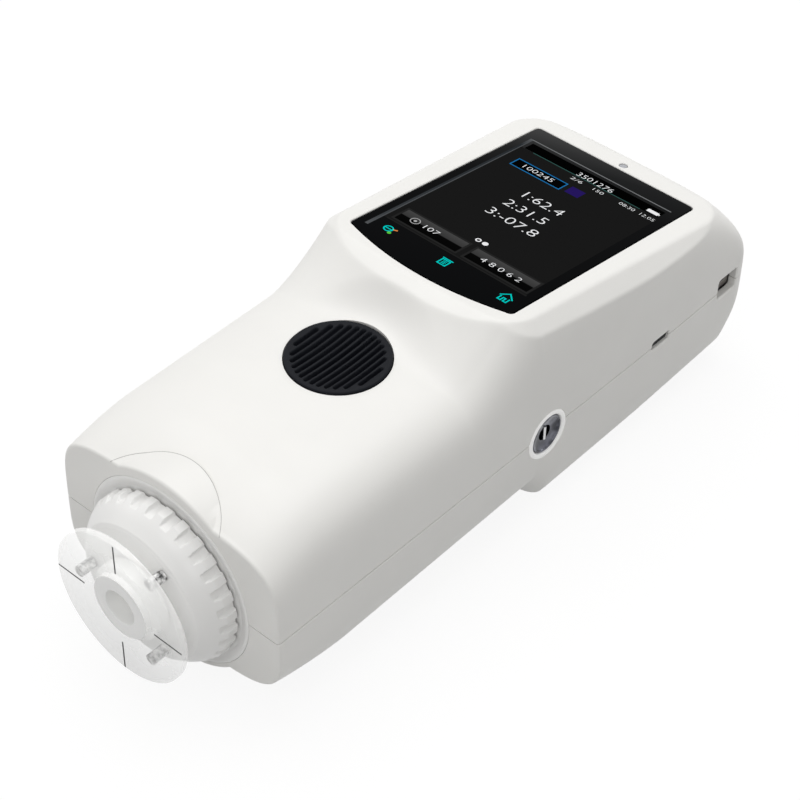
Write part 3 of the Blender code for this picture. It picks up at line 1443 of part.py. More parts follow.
def make_sensor(shop):
    start = TUBE_END_Y + GAP
    end = start + SENSOR_LENGTH
    housing = shop.box(
        "sensor_housing",
        (-SENSOR_HALF_WIDTH, start, -SENSOR_HALF_HEIGHT),
        (SENSOR_HALF_WIDTH, end, SENSOR_HALF_HEIGHT),
        "alloy",
    )
    window_base = (0, start - OVERRUN, 0)
    window_length = OVERRUN + SENSOR_WINDOW_DEPTH
    cut(housing, shop.rod("sensor_window", SENSOR_WINDOW_RADIUS, window_length, window_base, ALONG_Y))
    margin = SENSOR_BOARD_MARGIN
    shop.box(
        "sensor_board",
        (-SENSOR_HALF_WIDTH - margin, end + GAP, -SENSOR_HALF_HEIGHT - margin),
        (SENSOR_HALF_WIDTH + margin, end + GAP + BOARD_THICKNESS, SENSOR_HALF_HEIGHT + margin),
        "board",
    )
    shop.box(
        "sensor_bracket",
        (-BRACKET_HALF_WIDTH, BRACKET_FRONT_Y, floor_z(BRACKET_REAR_Y) + FLOOR_SEAT),
        (BRACKET_HALF_WIDTH, BRACKET_REAR_Y, -SENSOR_HALF_HEIGHT - GAP),
        "black",
    )


def make_cradle(shop):
    """The saddle on the floor that carries the sphere."""
    cradle = shop.box(
        "optics_cradle",
        (-CRADLE_HALF_WIDTH, CRADLE_FRONT_Y, floor_z(CRADLE_REAR_Y) + FLOOR_SEAT),
        (CRADLE_HALF_WIDTH, CRADLE_REAR_Y, CRADLE_TOP_Z),
        "black",
    )
    profile = ball_profile(SPHERE_RADIUS + 2 * GAP)
    place = (0, SPHERE_Y, 0)
    cut(cradle, shop.turned("cradle_hollow", profile, place, ALONG_Y, SPHERE_STEPS, closed=False))
    return cradle


def make_optics(shop):
    make_sphere_front(shop)
    make_sphere_rear(shop)
    make_cradle(shop)
    make_lamp(shop)
    make_lens_tube(shop)
    make_sensor(shop)


# Boards and battery


def make_main_board(shop):
    board = shop.box(
        "main_board",
        (-BOARD_HALF_WIDTH, BOARD_FRONT_Y, BOARD_Z),
        (BOARD_HALF_WIDTH, BOARD_REAR_Y, BOARD_Z + BOARD_THICKNESS),
        "board",
    )
    for i, (x, y) in enumerate(board_post_places()):
        base = (x, y, BOARD_Z - OVERRUN)
        hole = BOARD_THICKNESS + 2 * OVERRUN
        cut(board, shop.rod(f"board_hole_{i}", BOARD_HOLE_RADIUS, hole, base, steps=SCREW_STEPS))
        make_board_screw(shop, f"board_screw_{i + 1}", x, y)
    top = BOARD_Z + BOARD_THICKNESS + HALF_GAP
    half = CHIP_SIDE / 2
    shop.box("processor", (-half, CHIP_Y - half, top), (half, CHIP_Y + half, top + CHIP_THICKNESS), "black")
    profile = (
        (BUZZER_RADIUS, BUZZER_HEIGHT),
        (BUZZER_RADIUS, 0),
        (0, 0),
    )
    hole_floor = BUZZER_HEIGHT / 2
    profile = (
        (0, hole_floor),
        (BUZZER_HOLE_RADIUS, hole_floor),
        (BUZZER_HOLE_RADIUS, BUZZER_HEIGHT),
    ) + profile
    shop.turned("buzzer", profile, (BUZZER_X, BUZZER_Y, top), UPRIGHT, POST_STEPS * 2, "black", closed=False)


def make_board_screw(shop, name, x, y):
    profile = (
        (0, BOARD_SCREW_HEAD),
        (BOARD_SCREW_HEAD_RADIUS, BOARD_SCREW_HEAD),
        (BOARD_SCREW_HEAD_RADIUS, 0),
        (BOARD_SCREW_RADIUS, 0),
        (BOARD_SCREW_RADIUS, -BOARD_SCREW_LENGTH),
        (0, -BOARD_SCREW_LENGTH),
    )
    seat = (x, y, BOARD_Z + BOARD_THICKNESS + HALF_GAP)
    return shop.turned(name, profile, seat, UPRIGHT, SCREW_STEPS, "steel", closed=False)


def make_battery(shop):
    floor = WALL - REST_DROP + FLOOR_SEAT
    top = floor + BATTERY_HEIGHT
    battery = shop.box(
        "battery",
        (-BATTERY_HALF_WIDTH, BATTERY_FRONT_Y, floor),
        (BATTERY_HALF_WIDTH, BATTERY_REAR_Y, top),
        "cell",
    )
    bevel = battery.modifiers.new("edge", "BEVEL")
    bevel.width = BATTERY_EDGE
    bevel.segments = BATTERY_EDGE_SEGMENTS
    outer = BATTERY_HALF_WIDTH + GAP + CLAMP_THICKNESS
    clamp = shop.box(
        "battery_clamp",
        (-outer, CLAMP_FRONT_Y, floor + CLAMP_LEG_LIFT),
        (outer, CLAMP_REAR_Y, top + GAP + CLAMP_THICKNESS),
        "steel",
    )
    inside = BATTERY_HALF_WIDTH + GAP
    hollow = shop.box(
        "clamp_hollow",
        (-inside, CLAMP_FRONT_Y - OVERRUN, -REST_DROP),
        (inside, CLAMP_REAR_Y + OVERRUN, top + GAP),
    )
    cut(clamp, hollow)


def make_connector(shop):
    """The socket behind the port opening, on its small board."""
    low = PORT_Z - CONNECTOR_HEIGHT / 2
    high = PORT_Z + CONNECTOR_HEIGHT / 2
    half = CONNECTOR_HALF_WIDTH
    inner_x = CONNECTOR_OUTER_X - CONNECTOR_LENGTH
    socket = shop.box(
        "data_socket", (inner_x, PORT_Y - half, low), (CONNECTOR_OUTER_X, PORT_Y + half, high), "steel"
    )
    wall = CONNECTOR_WALL
    mouth = shop.box(
        "socket_mouth",
        (CONNECTOR_OUTER_X - CONNECTOR_DEPTH, PORT_Y - half + wall, low + wall),
        (CONNECTOR_OUTER_X + OVERRUN, PORT_Y + half - wall, high - wall),
    )
    tongue = shop.box(
        "socket_tongue",
        (inner_x + wall, PORT_Y - half / 2, PORT_Z - CONNECTOR_TONGUE / 2),
        (CONNECTOR_OUTER_X - CONNECTOR_TONGUE, PORT_Y + half / 2, PORT_Z + CONNECTOR_TONGUE / 2),
    )
    cut(socket, mouth)
    join(socket, tongue)
    board_top = low - GAP
    shop.box(
        "socket_board",
        (PORT_BOARD_X, PORT_Y - PORT_BOARD_HALF_WIDTH, board_top - BOARD_THICKNESS),
        (CONNECTOR_OUTER_X - GAP, PORT_Y + PORT_BOARD_HALF_WIDTH, board_top),
        "board",
    )


# Strap anchor


def make_strap_anchor(shop):
    """The bright cup in the right side and the upright bar that a strap goes round."""
    rim = ANCHOR_DISH_RADIUS
    profile = [(ANCHOR_RADIUS, ANCHOR_LENGTH), (ANCHOR_RADIUS, 0), (0, 0)]
    dish = []
    for i in range(ANCHOR_DISH_RINGS + 1):
        turn = math.pi / 2 * i / ANCHOR_DISH_RINGS
        dish.append((rim * math.sin(turn), ANCHOR_LENGTH - ANCHOR_DISH_DEPTH * math.cos(turn)))
    place = (ANCHOR_FACE_X - ANCHOR_LENGTH, ANCHOR_Y, ANCHOR_Z)
    shop.turned("strap_cup", dish + profile, place, ALONG_X, ANCHOR_STEPS, "chrome", closed=False)
    sink = ANCHOR_BAR_SINK
    depth_share = sink / ANCHOR_DISH_DEPTH
    reach = rim * math.sqrt(1 - depth_share**2) - GAP
    x = ANCHOR_FACE_X - sink + ANCHOR_BAR_RADIUS
    shop.rod(
        "strap_bar",
        ANCHOR_BAR_RADIUS,
        2 * reach,
        (x, ANCHOR_Y, ANCHOR_Z - reach),
        steps=POST_STEPS,
        material="chrome",
    )


def main():
    clear_scene()
    shop = Workshop()
    make_housing(shop)
    make_screen(shop)
    make_collar(shop)
    make_drum(shop)
    make_locating_plate(shop)
    make_hub(shop)
    make_button(shop)
    make_button_support(shop)
    make_optics(shop)
    make_main_board(shop)
    make_battery(shop)
    make_connector(shop)
    make_strap_anchor(shop)


main()
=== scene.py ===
"""The looks of a hand-held colorimeter: housing, optics nose, button, lit screen and a studio.

Lengths are in metres. Shapes are made in the nose frame: its origin is the middle of the locating plate's
front face, X points to the instrument's right, Y from the nose to the rear and Z up. What lies on the
tilted bezel is made in the bezel frame, with its own Y running down the slope to the rear.
"""

import json
import math

import bmesh
import bpy
import numpy as np
from mathutils import Matrix, Vector


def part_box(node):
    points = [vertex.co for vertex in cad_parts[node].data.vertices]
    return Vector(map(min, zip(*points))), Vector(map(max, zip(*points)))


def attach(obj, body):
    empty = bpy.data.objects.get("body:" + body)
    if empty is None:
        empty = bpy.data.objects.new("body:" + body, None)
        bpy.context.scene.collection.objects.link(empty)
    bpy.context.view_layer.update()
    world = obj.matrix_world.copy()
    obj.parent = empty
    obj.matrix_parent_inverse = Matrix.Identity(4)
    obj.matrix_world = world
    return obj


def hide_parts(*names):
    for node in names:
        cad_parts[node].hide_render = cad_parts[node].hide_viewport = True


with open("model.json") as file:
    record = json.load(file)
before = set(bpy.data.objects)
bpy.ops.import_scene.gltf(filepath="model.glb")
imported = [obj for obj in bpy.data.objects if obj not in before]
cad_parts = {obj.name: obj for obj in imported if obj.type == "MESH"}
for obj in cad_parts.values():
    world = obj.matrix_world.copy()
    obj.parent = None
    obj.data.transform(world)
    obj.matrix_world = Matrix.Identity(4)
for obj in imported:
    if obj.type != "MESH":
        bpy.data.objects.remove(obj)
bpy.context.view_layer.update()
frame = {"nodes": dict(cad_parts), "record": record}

# Places and sizes read from the solids
plate_low, plate_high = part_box("locating_plate")
collar_low, collar_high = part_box("collar_ring")
button_low, button_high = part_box("measure_button")
NOSE_X = (collar_low.x + collar_high.x) / 2
NOSE_Y = plate_low.y
NOSE_Z = (collar_low.z + collar_high.z) / 2
NOSE = Matrix.Translation((NOSE_X, NOSE_Y, NOSE_Z))
COLLAR_RADIUS = (collar_high.x - collar_low.x) / 2
PLATE_RADIUS = (plate_high.x - plate_low.x) / 2
BUTTON_Y = (button_low.y + button_high.y) / 2 - NOSE_Y
BUTTON_TOP_Z = button_high.z - NOSE_Z

# Housing form, as the solids have it
GAP = 0.0003
NOSE_FACE_Y = 0.0173
REAR_Y = 0.2163
REAR_END_MARGIN = 0.0004
REST_DROP = NOSE_Z
PARTING_Z = 0.001
WALL = 0.0022
NOSE_FILLET = 0.0009
NOSE_HALF_WIDTH = 0.0383
WIDEST_HALF_WIDTH = 0.0394
WIDEST_Y = 0.166
REAR_HALF_WIDTH = 0.0389
REAR_CORNER_RADIUS = 0.008
HANDLE_RISE = 0.0299
NOSE_DROP = 0.0049
NOSE_DROP_LENGTH = 0.020
SWEEP_START_Y = 0.088
SWEEP_LENGTH = 0.022
SWEEP_RISE = 0.0149
SWEEP_BOW = 0.003
SWEEP_BOW_HALF_WIDTH = 0.030
HEAD_BLANK_RISE = 0.049
HEAD_BLANK_REAR_RISE = 0.059
HEAD_Y = 0.126
KEEL_NOSE_DEPTH = 0.0230
KEEL_HANDLE_DEPTH = 0.0263
KEEL_HANDLE_REAR_DEPTH = 0.0237
KEEL_HUMP_DEPTH = 0.0307
KEEL_NOSE_LENGTH = 0.0245
HUMP_START_Y = 0.1173
HUMP_END_Y = 0.1225
BULGE_Z = 0.004
CROWN_RISE = 0.0212
CROWN_DEPTH = 0.0098
KEEL_REAR_DROP = 0.0333
KEEL_REAR_DEPTH = 0.0105
UPPER_EXPONENT = 4.5
KEEL_NOSE_EXPONENT = 4.1
KEEL_HANDLE_EXPONENT = 4.8
KEEL_HUMP_EXPONENT = 6.2
KEEL_REAR_EXPONENT = 4.6
NOSE_DROP_POWER = 1.6
SWEEP_POWER = 1.5
BUTTON_RADIUS = 0.0142
BUTTON_TERRACE = 0.011
BUTTON_TERRACE_SHARE = 0.42

# Bezel plane and its chamfers
BEZEL_Y = 0.1147
BEZEL_Z = 0.0401
BEZEL_TILT = math.radians(8.5)
BEZEL_FRONT = -0.0040
BEZEL_FRONT_BOW = 0.0023
BEZEL_REAR = 0.0889
BEZEL_REAR_BOW = 0.0016
BEZEL_FRONT_HALF_WIDTH = 0.0328
BEZEL_REAR_HALF_WIDTH = 0.0356
BEZEL_CORNER_RADIUS = 0.008
CHAMFER_REACH = 0.009
CHAMFER_SIDE_SLOPE = 0.95
CHAMFER_FRONT_SLOPE = 0.43
CHAMFER_REAR_SLOPE = 0.55
ROOF = 0.0030
BEZEL = NOSE @ Matrix.Translation((0, BEZEL_Y, BEZEL_Z)) @ Matrix.Rotation(-BEZEL_TILT, 4, "X")

# How finely the housing's skin is drawn
CREASE_WIDTH = 0.00026
SEAM_EDGE = 0.00025
SKIN_COLUMNS = 260
SECTION_SAMPLES = 420
INNER_COLUMNS = 40
SMOOTH_ANGLE = math.radians(32)
TINY = 0.000001
OVERRUN = 0.004

# Glass and what it shows
GLASS_HALF_WIDTH = 0.0284
GLASS_FRONT = 0.0001
GLASS_REAR = 0.0835
GLASS_BOW = 0.0044
GLASS_CORNER_RADIUS = 0.0015
GLASS_THICKNESS = 0.0011
GLASS_SINK = 0.0001
GLASS_EDGE = 0.00015
GLASS_LIP = 0.00022
WINDOW_HALF_WIDTH = 0.0262
WINDOW_FRONT = 0.0030
WINDOW_REAR = 0.0810
INDICATOR_X = 0.0012
INDICATOR_S = 0.0861
INDICATOR_RADIUS = 0.0012
LAYER = 0.000015

# Bosses of the front face
TOP_BOSS_RADIUS = 0.031
TOP_BOSS_PLAN_RADIUS = 0.0226
TOP_BOSS_PLAN_Y = 0.0053
TOP_BOSS_Z = 0.012
BOSS_SHADE_LINE_RADIUS = 0.00009
LOW_BOSS_FADE_Y = 0.037
LOW_BOSS_FLAT = 0.007
LOW_BOSS_FADE_RADIUS = 0.0225

# Collar, drum, plate and hub
COLLAR_PROUD = 0.0002
COLLAR_RIM = 0.0009
COLLAR_DEPTH = 0.0062
COLLAR_SEAT_Y = 0.0177
COLLAR_BORE_RADIUS = 0.0152
COLLAR_WALL = 0.0027
NECK_HOLE_RADIUS = 0.0160
POCKET_LIP = 0.0001
CAVITY_FRONT_Y = 0.0262
DRUM_FACE_Y = 0.0070
DRUM_FACE_RADIUS = 0.0200
DRUM_BAND_Y = 0.0128
DRUM_BAND_RADIUS = 0.0247
DRUM_REAR_Y = 0.0171
DRUM_NECK_RADIUS = 0.0138
DRUM_NECK_Y = 0.0238
DRUM_BORE_RADIUS = 0.0066
DRUM_REAR_BORE_RADIUS = 0.0112
DRUM_FACE_EDGE = 0.0008
DRUM_REAR_EDGE = 0.0003
DRUM_CONE_SWELL = 0.0004
SCALLOP_COUNT = 28
SCALLOP_DEPTH = 0.0011
SCALLOP_HALF_WIDTH = 0.00155
SCALLOP_FLANK = 0.00045
SCALLOP_RUN_OUT = 0.0014
PLATE_THICKNESS = 0.0020
POST_RING_RADIUS = 0.0169
POST_RADIUS = 0.0016
POST_ANGLES = (math.radians(182), math.radians(55), math.radians(298))
MARK_WIDTH = 0.0005
MARK_INNER_SHARE = 0.56
HUB_RADIUS = 0.0110
HUB_SPIGOT_RADIUS = 0.0094
APERTURE_RADIUS = 0.0051
APERTURE_FLARE = 0.0009

# Button
BUTTON_FLANGE_RADIUS = 0.0155
BUTTON_FLANGE = 0.0014
BUTTON_STEM_RADIUS = 0.0030
BUTTON_STEM_LENGTH = 0.0012
GROOVE_COUNT = 13
GROOVE_PITCH = 0.0019
GROOVE_WIDTH = 0.0010
GROOVE_DEPTH = 0.0013
BUTTON_DISH = 0.0009
GROOVE_MARGIN = 0.0011
GROOVE_SOFT_SHARE = 0.22
BUTTON_EDGE = 0.0004

# Right side: strap anchor, slot and port
ANCHOR_Y = 0.1207
ANCHOR_RADIUS = 0.0060
ANCHOR_LIP_RADIUS = 0.0078
ANCHOR_FACE_X = 0.0387
ANCHOR_LIP_PROUD = 0.0006
ANCHOR_LIP_EDGE = 0.0007
ANCHOR_LENGTH = 0.0050
ANCHOR_DISH_RADIUS = 0.0052
ANCHOR_DISH_DEPTH = 0.0009
ANCHOR_HOLE_RADIUS = 0.0024
ANCHOR_HOLE_DEPTH = 0.0028
ANCHOR_BAR_RADIUS = 0.0005
PORT_Y = 0.2035
PORT_Z = 0.0020
PORT_HALF_WIDTH = 0.0045
PORT_HALF_HEIGHT = 0.0035
PORT_PLATE_GAP = 0.0012
SIDE_SLOT_Y = 0.1710
SIDE_SLOT_HALF_WIDTH = 0.0040
SIDE_SLOT_RISE = 0.0017
SIDE_SLOT_DROP = 0.0012
SIDE_SLOT_DEPTH = 0.0015
OPENING_CORNER = 0.0006
OPENING_LIP = 0.0004

# Housing screws
SCREW_FRONT_X = 0.0300
SCREW_FRONT_Y = 0.0335
SCREW_REAR_X = 0.0332
SCREW_REAR_Y = 0.1870
SCREW_SEAT_Z = -0.0140
SCREW_HEAD_RADIUS = 0.0024
SCREW_HEAD = 0.0018
SCREW_RADIUS = 0.0012
SCREW_LENGTH = 0.0220
SCREW_WELL_RADIUS = 0.0028
SCREW_BOSS_RADIUS = 0.0042

# The screen's picture in the bezel frame. Rectangles run from low x, y to high x, y
KEY_FRONT = 0.0113
KEY_REAR = 0.0182
LEFT_KEY = (-0.0225, KEY_FRONT, 0.0, KEY_REAR)
RIGHT_KEY = (0.0023, KEY_FRONT, 0.0247, KEY_REAR)
SIDE_EDGE_FRONT = 0.0034
SIDE_EDGE_REAR = 0.0764
# Name, ink, layer and rectangle
PICTURE_FACES = (
    ("panel_face", "panel", 1, (-0.0247, 0.0099, 0.0252, 0.0704)),
    ("panel_band", "band", 1, (-0.0234, 0.0706, 0.0246, 0.0746)),
    # The panel's left and rear edges glow as painted highlights, where light catches them.
    ("panel_side_edge", "side", 1, (-0.0256, SIDE_EDGE_FRONT, -0.0245, SIDE_EDGE_REAR)),
    ("panel_side_line", "side_line", 2, (-0.02483, 0.0045, -0.0245, 0.0755)),
    ("panel_rear_edge", "rear_edge", 1, (-0.0248, 0.0760, 0.0254, SIDE_EDGE_REAR)),
    ("header_line", "line", 2, (-0.0200, 0.0702, 0.0186, 0.0705)),
    ("reading_box_face", "box", 2, (-0.0203, 0.0602, -0.0028, 0.0644)),
    ("colour_sample", "sample", 2, (-0.0010, 0.0606, 0.0037, 0.0647)),
    ("left_key", "key", 2, LEFT_KEY),
    ("right_key", "key", 2, RIGHT_KEY),
    ("key_shelf", "shelf", 2, (-0.0235, 0.0099, 0.0256, 0.0105)),
)
# Name, text, layer and rectangle
PICTURE_NUMBERS = (
    ("reading_1", "1:62.4", 3, (-0.0070, 0.0485, 0.0064, 0.0522)),
    ("reading_2", "2:31.5", 3, (-0.0081, 0.0413, 0.0062, 0.0450)),
    ("reading_3", "3:-07.8", 3, (-0.0086, 0.0341, 0.0085, 0.0378)),
    ("box_number", "100245", 4, (-0.0170, 0.0614, -0.0064, 0.0634)),
    ("header_number", "3501276", 3, (-0.0045, 0.0706, 0.0081, 0.0728)),
    ("left_number", "2/6", 3, (-0.0044, 0.0677, -0.0004, 0.0691)),
    ("right_number", "150", 3, (0.0036, 0.0677, 0.0071, 0.0691)),
    ("time_number", "08:30  12.05", 3, (0.0129, 0.0677, 0.0250, 0.0691)),
    ("left_key_number", "107", 4, (-0.0138, 0.0138, -0.0088, 0.0158)),
    ("right_key_number", "4 8 0 6 2", 4, (0.0064, 0.0136, 0.0202, 0.0157)),
)
INKS = {
    "white": (0.82, 0.83, 0.84),
    "grey": (0.4, 0.4, 0.4),
    "teal": (0.0, 0.58, 0.53),
    "panel": (0.0095, 0.0095, 0.0095),
    "band": (0.0008, 0.0008, 0.0008),
    # side_line and rear_edge are painted highlights on the panel's edges.
    "side_line": (0.075, 0.08, 0.085),
    "rear_edge": (0.17, 0.175, 0.18),
    "line": (0.03, 0.09, 0.08),
    "blue": (0.012, 0.165, 0.42),
    "box": (0.0012, 0.0012, 0.0014),
    "sample": (0.018, 0.008, 0.105),
    "border": (0.017, 0.017, 0.017),
    "shelf": (0.014, 0.014, 0.014),
    "orange": (0.75, 0.25, 0.06),
    "green": (0.1, 0.55, 0.05),
}
BOX_LINE = 0.00035
KEY_LINE = 0.0007
# Name, ink, line width and rectangle
PICTURE_BORDERS = (
    ("reading_box", "blue", BOX_LINE, (-0.0204, 0.0601, -0.0027, 0.0645)),
    ("left_key_edge", "border", KEY_LINE, LEFT_KEY),
    ("right_key_edge", "border", KEY_LINE, RIGHT_KEY),
)
CHARGE_CASE = (0.0202, 0.0712, 0.0240, 0.0727)
CHARGE_TIP = (0.0241, 0.0716, 0.0244, 0.0723)
CHARGE_CORNER = 0.0002
PAGE_DOT_Y = 0.0212
PAGE_DOT_PITCH = 0.0024
PAGE_DOT_RADIUS = 0.0009
KEY_RING_PLACE = (-0.0172, 0.0148)
KEY_RING_RADIUS = 0.0014
KEY_RING_LINE = 0.00028
KEY_DOT_RADIUS = 0.0005

# Signs on the glass in front of the panel, in the bezel frame
SIGN_LINE = 0.0004
GLOBE_PLACE = (-0.0194, 0.0062)
GLOBE_RADIUS = 0.0013
GLOBE_BAR = ((-0.0206, 0.0062), (-0.0182, 0.0062))
BRUSH = ((-0.0182, 0.0066), (-0.0169, 0.0072))
BRUSH_WIDTH = 0.0005
LEAF_PLACE = (-0.0179, 0.0047)
LEAF_RADIUS = 0.0006
PAGE = (-0.0002, 0.0040, 0.0024, 0.0066)
PAGE_ROW_X = (0.0005, 0.0018)
PAGE_ROW_YS = (0.0047, 0.0053, 0.0059)
PAGE_ROW_WIDTH = 0.0003
PAGE_TAB = ((-0.0007, 0.0072), (0.0029, 0.0072))
HOME_ROOF = ((0.0204, 0.0054), (0.0224, 0.0076), (0.0246, 0.0054))
HOME_LEFT_WALL = ((0.0211, 0.0054), (0.0211, 0.0034), (0.0221, 0.0034), (0.0221, 0.0049))
HOME_RIGHT_WALL = ((0.0229, 0.0049), (0.0229, 0.0034), (0.0239, 0.0034), (0.0239, 0.0054))

# Camera, solved from the photograph's 800 by 800 pixels
IMAGE_PIXELS = 800
CAMERA_AZIMUTH = math.radians(40.91)
CAMERA_ELEVATION = math.radians(42.9)
CAMERA_ROLL = math.radians(1.21)
CAMERA_DISTANCE = 0.54548
FOCAL_PIXELS = 2201.18
PLATE_CENTRE_PIXEL = (118.97, 608.48)
SENSOR = 0.036

# Studio, with each light's name, place, target, width and power
WORLD_LIGHT = 0.41
FLOOR_SIZE = 6.0
FLOOR_SHADE = 0.12
FLOOR_SHADE_SHARE = 0.9
FLOOR_LIGHT = 0.48
LIGHTS = (
    ("overhead", (-0.3, 0.3, 1.25), (0, 0, 0), 1.1, 8.4),
    ("left_fill", (-1.1, -0.35, 0.75), (0, 0, 0.03), 0.9, 1.9),
    ("front_fill", (0.2, -0.8, 1.1), (0, -0.05, 0.03), 0.5, 1.9),
    ("nose_fill", (0.42, -0.5, 0.34), (0, -0.1, 0.03), 0.25, 0.4),
    ("rear_fill", (0.3, 1.1, 0.5), (0, 0.08, 0.03), 0.4, 1.2),
)


# Small sums


def blend(value, start, end):
    return np.clip((value - start) / (end - start), 0, 1)


def smooth(share):
    return share * share * (3 - 2 * share)


def mix(first, second, share):
    return first + (second - first) * share


# Shapes, each a pair of points and faces


def combine(*shapes):
    points, faces, start = [], [], 0
    for shape_points, shape_faces in shapes:
        points.append(np.asarray(shape_points, float))
        faces += [tuple(start + i for i in face) for face in shape_faces]
        start += len(shape_points)
    return np.concatenate(points), faces


def loft(rings, closed=False):
    """A skin over closed rings of points, capped at both ends unless it closes on itself."""
    rings = np.asarray(rings, float)
    count, size = rings.shape[:2]
    faces = []
    for row in range(count if closed else count - 1):
        near, far = row * size, (row + 1) % count * size
        for i in range(size):
            j = (i + 1) % size
            faces.append((near + i, near + j, far + j, far + i))
    if not closed:
        faces.append(tuple(reversed(range(size))))
        faces.append(tuple(range((count - 1) * size, count * size)))
    return rings.reshape(-1, 3), faces


def rounded(outline, radius, steps=4, keep_axis=False):
    """A closed outline with its corners drawn round. Corners on the axis may stay."""
    corners = [np.array(point, float) for point in outline]
    result = []
    for i, point in enumerate(corners):
        back = corners[i - 1] - point
        ahead = corners[(i + 1) % len(corners)] - point
        back_length, ahead_length = np.linalg.norm(back), np.linalg.norm(ahead)
        cosine = float(back @ ahead / (back_length * ahead_length))
        half = math.acos(max(-1.0, min(1.0, cosine))) / 2
        if keep_axis and point[0] == 0 or half > math.radians(88):
            result.append(point)
            continue
        reach = min(radius / math.tan(half), back_length * 0.45, ahead_length * 0.45)
        middle = back / back_length + ahead / ahead_length
        centre = point + middle / np.linalg.norm(middle) * reach / math.cos(half)
        first = point + back / back_length * reach - centre
        second = point + ahead / ahead_length * reach - centre
        turn = math.pi - 2 * half
        for k in range(steps + 1):
            share = k / steps
            weights = math.sin((1 - share) * turn), math.sin(share * turn)
            result.append(centre + (first * weights[0] + second * weights[1]) / math.sin(turn))
    return result


def turned(profile, steps, radius_at=None):
    """A closed profile of (radius, along) turned round the nose axis."""
    profile = np.asarray(profile, float)
    rings = []
    for i in range(steps):
        turn = 2 * math.pi * i / steps
        radius = profile[:, 0] if radius_at is None else radius_at(turn, profile[:, 0], profile[:, 1])
        rings.append(np.stack((radius * math.cos(turn), profile[:, 1], radius * math.sin(turn)), 1))
    return loft(rings, closed=True)


def upright(shape, x, y, z):
    """A turned shape stood on end, its axis along Z, at a place."""
    points, faces = shape
    return np.stack((points[:, 0] + x, y - points[:, 2], points[:, 1] + z), 1), faces


def sideways(shape, x, y, z):
    """A turned shape laid along X at a place."""
    points, faces = shape
    return np.stack((points[:, 1] + x, points[:, 0] + y, z - points[:, 2]), 1), faces


def moved(shape, x, y, z):
    points, faces = shape
    return points + np.array((x, y, z)), faces


def rod(radius, length, steps=48):
    return turned(((0, length), (radius, length), (radius, 0), (0, 0)), steps)


def flat_ring(outline, z):
    outline = np.asarray(outline, float)
    return np.column_stack((outline, np.full(len(outline), z)))


def prism(outline, low, high):
    return loft([flat_ring(outline, low), flat_ring(outline, high)])


def side_prism(outline, low, high):
    """A prism along X over an outline of (y, z) points."""
    return loft([[(x, *point) for point in outline] for x in (low, high)])


def rectangle(low_x, low_y, high_x, high_y):
    return [(low_x, low_y), (high_x, low_y), (high_x, high_y), (low_x, high_y)]


def box(low, high):
    return prism(rectangle(low[0], low[1], high[0], high[1]), low[2], high[2])


def ring_outline(x, y, radius, steps=32):
    turns = np.linspace(0, 2 * math.pi, steps, endpoint=False)
    return [(x + radius * math.cos(turn), y + radius * math.sin(turn)) for turn in turns]


def ribbon(path, width, low, high, closed=True):
    """A flat line of even width along a path of (x, y) points."""
    path = np.asarray(path, float)
    count = len(path)
    rings = []
    for i, point in enumerate(path):
        before = path[i - 1] if closed or i else point * 2 - path[1]
        after = path[(i + 1) % count] if closed or i + 1 < count else point * 2 - path[i - 1]
        first = (point - before) / np.linalg.norm(point - before)
        second = (after - point) / np.linalg.norm(after - point)
        along = (first + second) / np.linalg.norm(first + second)
        side = np.array((-along[1], along[0])) * width / 2 / max(float(along @ first), 0.5)
        left, right = point + side, point - side
        rings.append([(*left, low), (*right, low), (*right, high), (*left, high)])
    return loft(rings, closed=closed)


# Blender objects


def raw_object(name, shape, place=NOSE):
    """An object with welded points and outward faces."""
    mesh = bpy.data.meshes.new(name)
    mesh.from_pydata(np.asarray(shape[0]).tolist(), [], shape[1])
    work = bmesh.new()
    work.from_mesh(mesh)
    bmesh.ops.remove_doubles(work, verts=work.verts, dist=TINY)
    bmesh.ops.recalc_face_normals(work, faces=work.faces)
    work.to_mesh(mesh)
    work.free()
    obj = bpy.data.objects.new(name, mesh)
    bpy.context.scene.collection.objects.link(obj)
    obj.matrix_world = place
    return obj


def apply_modifiers(obj):
    bpy.context.view_layer.update()
    graph = bpy.context.evaluated_depsgraph_get()
    mesh = bpy.data.meshes.new_from_object(obj.evaluated_get(graph))
    obj.modifiers.clear()
    obj.data = mesh


def boolean(obj, tool, operation):
    """Cuts, joins or trims an object with another one, which is used up."""
    modifier = obj.modifiers.new("work", "BOOLEAN")
    modifier.operation = operation
    modifier.solver = "MANIFOLD"
    modifier.object = tool
    apply_modifiers(obj)
    bpy.data.objects.remove(tool)


def cut(obj, *shapes, place=NOSE):
    for shape in shapes:
        boolean(obj, raw_object("cutter", shape, place), "DIFFERENCE")


def dress(obj, slot, body="housing", nodes=(), look=None, angle=SMOOTH_ANGLE):
    """Finishes a piece: shading, material, the body it rides on and the solids it stands for."""
    obj.data.shade_smooth()
    obj.data.set_sharp_from_angle(angle=angle)
    obj.data.materials.clear()
    obj.data.materials.append(materials[look or slot])
    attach(obj, body)
    if nodes:
        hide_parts(*nodes)
    return obj


def piece(name, shape, slot, body="housing", nodes=(), look=None, place=NOSE, angle=SMOOTH_ANGLE):
    return dress(raw_object(name, shape, place), slot, body, nodes, look, angle)


# Materials, by slot, and a few looks of their own

materials = {}


